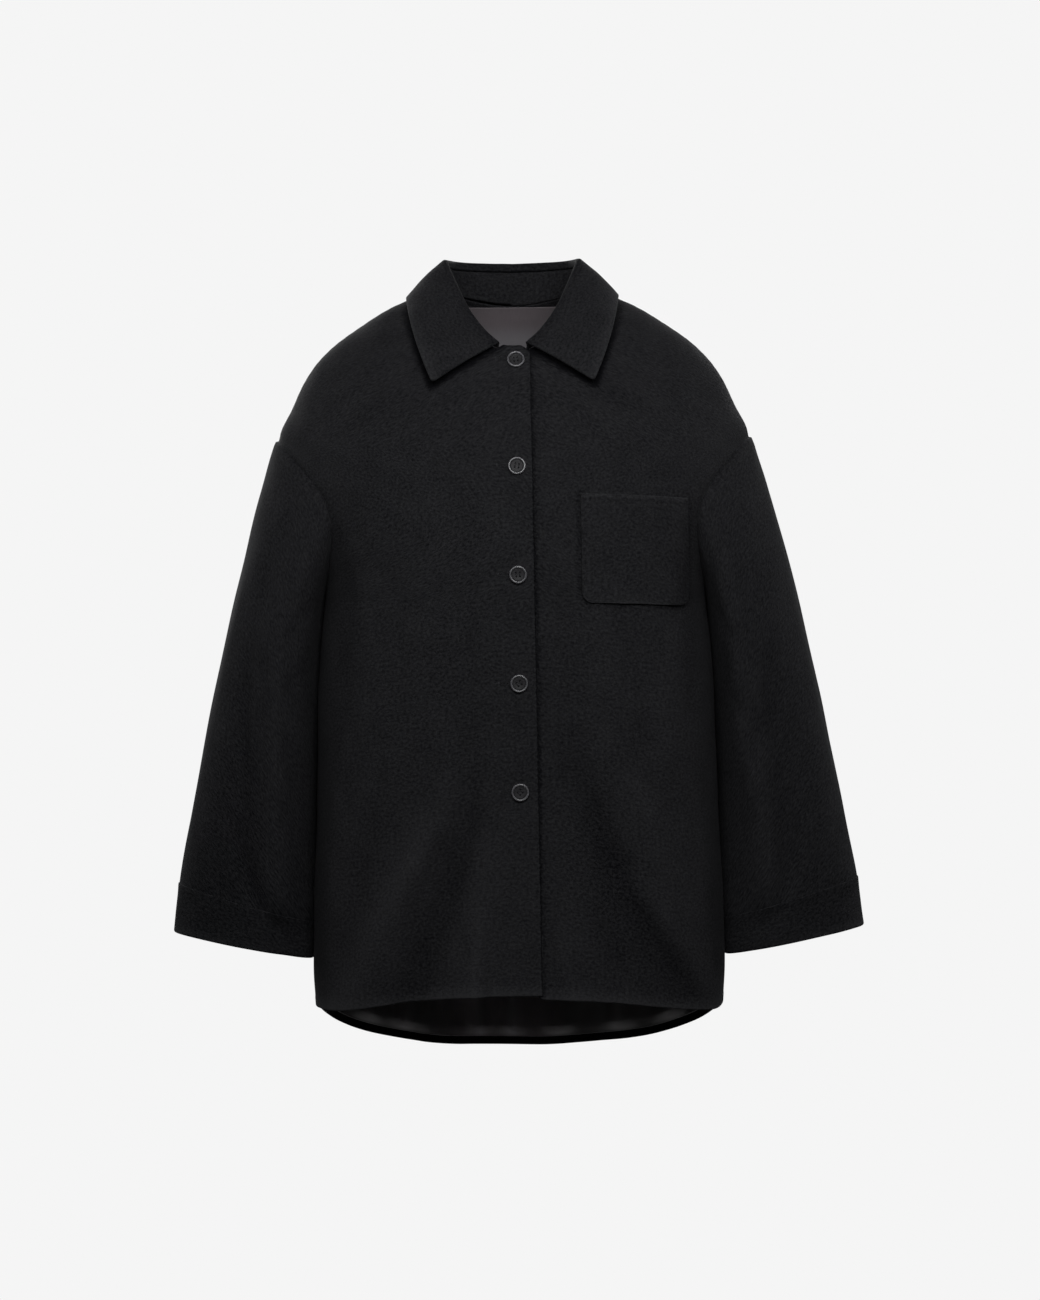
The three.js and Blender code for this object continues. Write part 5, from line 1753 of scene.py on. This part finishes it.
class JACKET_OT_make_buttonholes(bpy.types.Operator):
    """Sew the buttonholes, which run level from under each button towards the wearer's right"""

    bl_idname = "jacket.make_buttonholes"
    bl_label = "Make Buttonholes"

    def execute(self, context):
        length = context.scene.jacket_buttons.hole_length / MM
        form = BUTTONHOLE
        for i in range(len(BUTTON_TURNS)):
            low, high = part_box(f"button_{i + 1}")
            centre = np.array((low + high) / 2) / MM
            end_x = centre[0] + form["past_button"]
            routes = []

            def on_cloth(x, across, height):
                """Points on the upper front's face, at a distance across the slit and a height."""
                z = centre[2] + across
                angle = angle_at(x, z, FRONT)
                rise = overlap_rise(-x)
                return body_point(angle, z) + body_normal(angle, z) * (rise + height)[..., None]

            for sign in (-1, 1):
                count = round(length / form["pitch"])
                for k in range(count):
                    x = end_x - length + form["pitch"] * (k + 0.5)
                    a = np.linspace(0, np.pi, 7)
                    across = sign * mix(form["half_width"], form["slit"], (1 - np.cos(a)) / 2)
                    height = form["height"] * np.sin(a) - form["sunk"]
                    slant = 0.12 * np.sin(k * 2.4) + 0.1 * np.cos(a)
                    routes.append(on_cloth(x + slant, across, height))
            for k in range(form["bar_stitches"]):
                a = np.linspace(0, np.pi, 9)
                x = end_x - length - form["bar_gap"] - form["bar_pitch"] * k
                across = form["half_width"] * np.cos(a)
                height = form["height"] * np.sin(a) - form["sunk"]
                routes.append(on_cloth(x + 0 * a, across, height))
            points, faces = tubes(routes, form["thread"])
            piece = new_object(f"buttonhole_{i + 1}", np.array(points) * MM, faces)
            piece.data.polygons.foreach_set("use_smooth", np.ones(len(faces), bool))
            seat(piece, None)
            dress(piece, thread_material())
        return {"FINISHED"}


def dress(piece, material):
    """Gives a piece its material."""
    piece.data.materials.clear()
    piece.data.materials.append(material)


def new_material(name):
    """A node material with its shader, or the one that is there already."""
    material = bpy.data.materials.get(name)
    if material:
        return material, None
    material = bpy.data.materials.new(name)
    material.use_nodes = True
    tree = material.node_tree
    tree.nodes.clear()
    output = tree.nodes.new("ShaderNodeOutputMaterial")
    shader = tree.nodes.new("ShaderNodeBsdfPrincipled")
    tree.links.new(shader.outputs["BSDF"], output.inputs["Surface"])
    return material, shader


def add_node(tree, kind, values=None, **settings):
    """A shader node with its settings and input values."""
    node = tree.nodes.new(kind)
    for name, value in settings.items():
        setattr(node, name, value)
    for name, value in (values or {}).items():
        node.inputs[name].default_value = value
    return node


def scaled_grain(tree, scale):
    """Places along the cloth, stretched by a scale in each direction."""
    grain = add_node(tree, "ShaderNodeAttribute", attribute_name="grain")
    spread = add_node(tree, "ShaderNodeVectorMath", {1: scale}, operation="MULTIPLY")
    tree.links.new(grain.outputs["Vector"], spread.inputs[0])
    return spread.outputs["Vector"]


def noise(tree, vector, scale, detail=3.0, roughness=0.55):
    """Soft noise at places given by a vector."""
    node = add_node(
        tree, "ShaderNodeTexNoise", {"Scale": scale, "Detail": detail, "Roughness": roughness}
    )
    tree.links.new(vector, node.inputs["Vector"])
    return node.outputs["Fac"]


def ramp(tree, value, low, high, to_low=0.0, to_high=1.0):
    """A value spread from one range to another."""
    node = add_node(
        tree,
        "ShaderNodeMapRange",
        {"From Min": low, "From Max": high, "To Min": to_low, "To Max": to_high},
    )
    tree.links.new(value, node.inputs["Value"])
    return node.outputs["Result"]


def math_node(tree, operation, *values):
    """A sum on numbers and sockets."""
    node = add_node(tree, "ShaderNodeMath", operation=operation)
    for socket, value in zip(node.inputs, values):
        if isinstance(value, (int, float)):
            socket.default_value = value
        else:
            tree.links.new(value, socket)
    return node.outputs["Value"]


def colour_mix(tree, factor, first, second):
    """A blend of two colours, each a plain one or a socket."""
    node = add_node(tree, "ShaderNodeMix", data_type="RGBA")
    tree.links.new(factor, node.inputs["Factor"])
    for socket, colour in ((node.inputs[6], first), (node.inputs[7], second)):
        if isinstance(colour, bpy.types.NodeSocket):
            tree.links.new(colour, socket)
        else:
            socket.default_value = (*colour, 1.0)
    return node.outputs[2]


def bump(tree, height, distance, strength=1.0, below=None):
    """A bump, over another one if there is one."""
    node = add_node(tree, "ShaderNodeBump", {"Strength": strength, "Distance": distance})
    tree.links.new(height, node.inputs["Height"])
    if below is not None:
        tree.links.new(below, node.inputs["Normal"])
    return node.outputs["Normal"]


def wool_material():
    """Felted wool with a short nap: fine fibres, small tufts, faint clouds, and painted light and shade from
    the cloth's attribute.
    """
    material, shader = new_material("wool_nap")
    if shader is None:
        return material
    tree = material.node_tree
    finish = bpy.context.scene.jacket_finish
    lying = scaled_grain(tree, (1.0, 1.25, 1.0))
    even = scaled_grain(tree, (1.0, 1.0, 1.0))
    fibres = noise(tree, lying, 900, 3.0, 0.65)
    tufts = noise(tree, lying, 300, 3.0, 0.62)
    clouds = noise(tree, even, 30, 3.0, 0.6)
    mottle = ramp(tree, tufts, 0.33, 0.67)
    speck = ramp(tree, fibres, 0.4, 0.72)
    blend = math_node(tree, "MULTIPLY_ADD", mottle, 0.6, math_node(tree, "MULTIPLY", speck, 0.4))
    # The cloth's attribute of painted light and shade lightens or darkens the nap's colour.
    painted_light = add_node(tree, "ShaderNodeAttribute", attribute_name="painted_light")
    lift = math_node(tree, "MULTIPLY", painted_light.outputs["Fac"], 0.4)
    broad = ramp(tree, clouds, 0.3, 0.7, -0.07, 0.07)
    factor = math_node(tree, "ADD", math_node(tree, "ADD", blend, lift), broad)
    colour = colour_mix(tree, factor, finish.wool_deep, finish.wool_light)
    tree.links.new(colour, shader.inputs["Base Color"])
    tree.links.new(ramp(tree, tufts, 0.3, 0.7, 0.88, 1.0), shader.inputs["Roughness"])
    coarse = bump(tree, tufts, finish.nap_height, 0.55)
    fine = bump(tree, fibres, 0.35 * finish.nap_height, 0.6, coarse)
    tree.links.new(fine, shader.inputs["Normal"])
    shader.inputs["Specular IOR Level"].default_value = 0.03
    shader.inputs["Sheen Weight"].default_value = 0.008
    shader.inputs["Sheen Roughness"].default_value = 0.45
    shader.inputs["Sheen Tint"].default_value = (0.75, 0.76, 0.8, 1.0)
    return material


def satin_material():
    """Smooth satin with a fine warp line and a soft shine, and painted light and shade from the cloth's
    attribute.
    """
    material, shader = new_material("lining_satin")
    if shader is None:
        return material
    tree = material.node_tree
    finish = bpy.context.scene.jacket_finish
    warp = noise(tree, scaled_grain(tree, (9.0, 0.35, 1.0)), 260, 2.0, 0.5)
    broad = noise(tree, scaled_grain(tree, (1.0, 1.0, 1.0)), 18, 2.0, 0.5)
    lines = ramp(tree, warp, 0.3, 0.7, 0.0, 0.6)
    factor = math_node(tree, "ADD", lines, ramp(tree, broad, 0.3, 0.7, 0, 0.4))
    deep = tuple(0.8 * channel for channel in finish.lining)
    light = tuple(1.12 * channel for channel in finish.lining)
    # Painted light towards the pale satin where the attribute is above 0, and painted shade towards a dark
    # copy of the lining's colour below 0.
    tone = add_node(tree, "ShaderNodeAttribute", attribute_name="painted_light").outputs["Fac"]
    colour = colour_mix(tree, factor, deep, light)
    colour = colour_mix(tree, ramp(tree, tone, 0.0, 1.0), colour, finish.lining_pale)
    shade = tuple(0.12 * channel for channel in finish.lining)
    colour = colour_mix(tree, ramp(tree, tone, 0.0, -1.0), colour, shade)
    tree.links.new(colour, shader.inputs["Base Color"])
    tree.links.new(ramp(tree, warp, 0.3, 0.7, 0.36, 0.48), shader.inputs["Roughness"])
    tree.links.new(bump(tree, warp, 0.00008, 0.5), shader.inputs["Normal"])
    shader.inputs["Specular IOR Level"].default_value = 0.22
    shader.inputs["Anisotropic"].default_value = 0.45
    shader.inputs["Sheen Weight"].default_value = 0.03
    return material


def horn_material(name, shade, roughness, specular):
    """Dark horn with faint streaks and fine scuffs: polished on the rim, and dull in the dish. Its colour is
    scaled by the shade factor, which paints light or shade into it.
    """
    material, shader = new_material(name)
    if shader is None:
        return material
    tree = material.node_tree
    finish = bpy.context.scene.jacket_finish
    place = add_node(tree, "ShaderNodeTexCoord")
    stretch = add_node(tree, "ShaderNodeVectorMath", {1: (1.0, 1.0, 3.2)}, operation="MULTIPLY")
    tree.links.new(place.outputs["Object"], stretch.inputs[0])
    streaks = noise(tree, stretch.outputs["Vector"], 420, 4.0, 0.6)
    scuffs = noise(tree, place.outputs["Object"], 2600, 2.0, 0.6)
    dark = tuple(shade * channel for channel in finish.horn)
    light = tuple(2.2 * channel for channel in dark)
    factor = ramp(tree, streaks, 0.45, 0.75)
    tree.links.new(colour_mix(tree, factor, dark, light), shader.inputs["Base Color"])
    tree.links.new(ramp(tree, scuffs, 0.35, 0.7, *roughness), shader.inputs["Roughness"])
    tree.links.new(bump(tree, scuffs, 0.00003, 0.4), shader.inputs["Normal"])
    shader.inputs["Specular IOR Level"].default_value = specular
    return material


def thread_material():
    """Sewing thread with its twist."""
    material, shader = new_material("sewing_thread")
    if shader is None:
        return material
    tree = material.node_tree
    finish = bpy.context.scene.jacket_finish
    place = add_node(tree, "ShaderNodeTexCoord")
    twist = add_node(
        tree, "ShaderNodeTexWave", {"Scale": 900.0, "Distortion": 1.5}, bands_direction="DIAGONAL"
    )
    tree.links.new(place.outputs["Object"], twist.inputs["Vector"])
    light = tuple(1.9 * channel for channel in finish.thread)
    tree.links.new(
        colour_mix(tree, twist.outputs["Fac"], finish.thread, light), shader.inputs["Base Color"]
    )
    tree.links.new(ramp(tree, twist.outputs["Fac"], 0, 1, 0.5, 0.65), shader.inputs["Roughness"])
    tree.links.new(bump(tree, twist.outputs["Fac"], 0.00005, 0.6), shader.inputs["Normal"])
    shader.inputs["Specular IOR Level"].default_value = 0.15
    return material


def floor_material():
    """Pale matt floor with a faint unevenness."""
    material, shader = new_material("pale_floor")
    if shader is None:
        return material
    tree = material.node_tree
    place = add_node(tree, "ShaderNodeTexCoord")
    cloud = noise(tree, place.outputs["Object"], 3.0, 2.0)
    pale = bpy.context.scene.jacket_stage.backdrop
    light = tuple(0.62 * channel for channel in pale)
    dull = tuple(0.6 * channel for channel in pale)
    tree.links.new(colour_mix(tree, cloud, dull, light), shader.inputs["Base Color"])
    shader.inputs["Roughness"].default_value = 0.9
    return material


def backdrop_material():
    """An even, self-lit backdrop."""
    material = bpy.data.materials.new("pale_backdrop")
    material.use_nodes = True
    tree = material.node_tree
    tree.nodes.clear()
    output = tree.nodes.new("ShaderNodeOutputMaterial")
    glow = tree.nodes.new("ShaderNodeEmission")
    glow.inputs["Color"].default_value = (*bpy.context.scene.jacket_stage.backdrop, 1.0)
    tree.links.new(glow.outputs["Emission"], output.inputs["Surface"])
    return material


# Soft lights: name, place, size across and up, the setting that gives its power, and its share of that.
SOFT_LIGHTS = (
    ("front_left", (-0.3, -1.5, 0.4), (0.8, 0.8), "front_power", 0.69),
    ("front_right", (0.3, -1.5, 0.4), (0.8, 0.8), "front_power", 1.0),
    ("side_left", (-1.6, -1.6, 0.6), (0.8, 0.8), "side_power", 0.8),
    ("side_right", (1.6, -1.6, 0.6), (0.8, 0.8), "side_power", 1.2),
    ("overhead", (0.0, 0.1, 1.7), (1.6, 0.8), "side_power", 1.2),
    ("flank_left", (-2.2, 0.7, 0.2), (1.0, 1.0), "back_power", 0.75),
    ("flank_right", (2.2, 0.7, 0.2), (1.0, 1.0), "back_power", 0.75),
    ("back_left", (-0.9, 1.6, 0.7), (1.0, 1.0), "back_power", 1.0),
    ("back_right", (0.7, 1.7, 0.9), (1.0, 1.0), "back_power", 0.7),
)
AIM = Vector((0.0, 0.0, -0.3))
VIEW = {"x": 0.0042, "z": -0.38, "height": 1.365, "roll": -0.0105, "sensor": 36.0}
BACKDROP_RADIUS = 9.0
FLOOR_RADIUS = 1.85


class JACKET_OT_make_stage(bpy.types.Operator):
    """Make the floor, the backdrop, the soft lights and the camera"""

    bl_idname = "jacket.make_stage"
    bl_label = "Make Stage"

    def execute(self, context):
        stage = context.scene.jacket_stage
        self.floor(stage)
        self.backdrop()
        self.lights(context, stage)
        self.camera(context, stage)
        context.scene.view_settings.view_transform = "Standard"
        return {"FINISHED"}

    @staticmethod
    def floor(stage):
        profile = [(0.0, -0.02), (FLOOR_RADIUS, -0.02), (FLOOR_RADIUS, -0.006)]
        profile += [(FLOOR_RADIUS - 0.006, 0.0), (0.0, 0.0)]
        points, faces = lathe(profile, 160)
        floor = new_object("floor", points, faces)
        floor.location = (0.0, 0.0, stage.floor_height)
        floor.visible_diffuse = False
        dress(floor, floor_material())

    @staticmethod
    def backdrop():
        arc_points = arc(0.0, 0.0, BACKDROP_RADIUS, -90, 90, 25)
        arc_points[0] = (0.0, -BACKDROP_RADIUS)
        arc_points[-1] = (0.0, BACKDROP_RADIUS)
        points, faces = lathe(arc_points, 48)
        dome = new_object("backdrop", points, [tuple(reversed(face)) for face in faces])
        dress(dome, backdrop_material())
        for kind in ("diffuse", "glossy", "transmission", "volume_scatter", "shadow"):
            setattr(dome, f"visible_{kind}", False)

    @staticmethod
    def lights(context, stage):
        world = bpy.data.worlds.new("soft_world")
        world.use_nodes = True
        background = world.node_tree.nodes["Background"]
        background.inputs["Color"].default_value = (1.0, 1.0, 1.0, 1.0)
        background.inputs["Strength"].default_value = stage.ambient
        context.scene.world = world
        for name, place, size, setting, share in SOFT_LIGHTS:
            light = bpy.data.lights.new(name, "AREA")
            light.shape = "RECTANGLE"
            light.size, light.size_y = size
            light.energy = getattr(stage, setting) * share
            lamp = bpy.data.objects.new(name, light)
            lamp.location = place
            lamp.rotation_euler = (AIM - lamp.location).to_track_quat("-Z", "Y").to_euler()
            lamp.visible_camera = False
            context.scene.collection.objects.link(lamp)

    @staticmethod
    def camera(context, stage):
        data = bpy.data.cameras.new("camera")
        data.sensor_fit = "AUTO"
        data.sensor_width = VIEW["sensor"]
        data.lens = VIEW["sensor"] * stage.camera_distance / VIEW["height"]
        data.clip_end = 3 * BACKDROP_RADIUS
        camera = bpy.data.objects.new("camera", data)
        camera.location = (VIEW["x"], -stage.camera_distance, VIEW["z"])
        roll = Euler((0.0, 0.0, VIEW["roll"])).to_matrix()
        camera.rotation_euler = (Euler((math.pi / 2, 0.0, 0.0)).to_matrix() @ roll).to_euler()
        context.scene.collection.objects.link(camera)
        context.scene.camera = camera


class JACKET_PT_sidebar(bpy.types.Panel):
    """The jacket's settings and makers in the 3D view's sidebar"""

    bl_idname = "JACKET_PT_sidebar"
    bl_label = "Jacket"
    bl_space_type = "VIEW_3D"
    bl_region_type = "UI"
    bl_category = "Jacket"

    def draw(self, context):
        for group in (
            context.scene.jacket_cloth,
            context.scene.jacket_finish,
            context.scene.jacket_buttons,
            context.scene.jacket_stage,
        ):
            box = self.layout.box()
            for name in group.__annotations__:
                box.prop(group, name)
        column = self.layout.column()
        for operator in OPERATORS:
            column.operator(operator.bl_idname)


OPERATORS = (
    JACKET_OT_make_fronts,
    JACKET_OT_make_back,
    JACKET_OT_make_lining,
    JACKET_OT_make_sleeves,
    JACKET_OT_make_cuffs,
    JACKET_OT_make_collar,
    JACKET_OT_make_pocket,
    JACKET_OT_make_buttons,
    JACKET_OT_make_buttonholes,
    JACKET_OT_make_stage,
)
GROUPS = {
    "jacket_cloth": ClothSettings,
    "jacket_finish": FinishSettings,
    "jacket_buttons": ButtonSettings,
    "jacket_stage": StageSettings,
}


def register():
    for group in GROUPS.values():
        bpy.utils.register_class(group)
    for name, group in GROUPS.items():
        setattr(bpy.types.Scene, name, PointerProperty(type=group))
    for operator in OPERATORS:
        bpy.utils.register_class(operator)
    bpy.utils.register_class(JACKET_PT_sidebar)


def unregister():
    bpy.utils.unregister_class(JACKET_PT_sidebar)
    for operator in reversed(OPERATORS):
        bpy.utils.unregister_class(operator)
    for name, group in GROUPS.items():
        delattr(bpy.types.Scene, name)
        bpy.utils.unregister_class(group)


def main():
    """Makes the whole jacket and its stage."""
    register()
    for side in (FRONT, BACK):
        ARMHOLE_LINES[side] = armhole_line(side)
    bpy.ops.jacket.make_fronts()
    bpy.ops.jacket.make_back()
    bpy.ops.jacket.make_lining()
    bpy.ops.jacket.make_sleeves()
    bpy.ops.jacket.make_cuffs()
    bpy.ops.jacket.make_collar()
    bpy.ops.jacket.make_pocket()
    bpy.ops.jacket.make_buttons()
    bpy.ops.jacket.make_buttonholes()
    bpy.ops.jacket.make_stage()


if __name__ == "__main__":
    main()
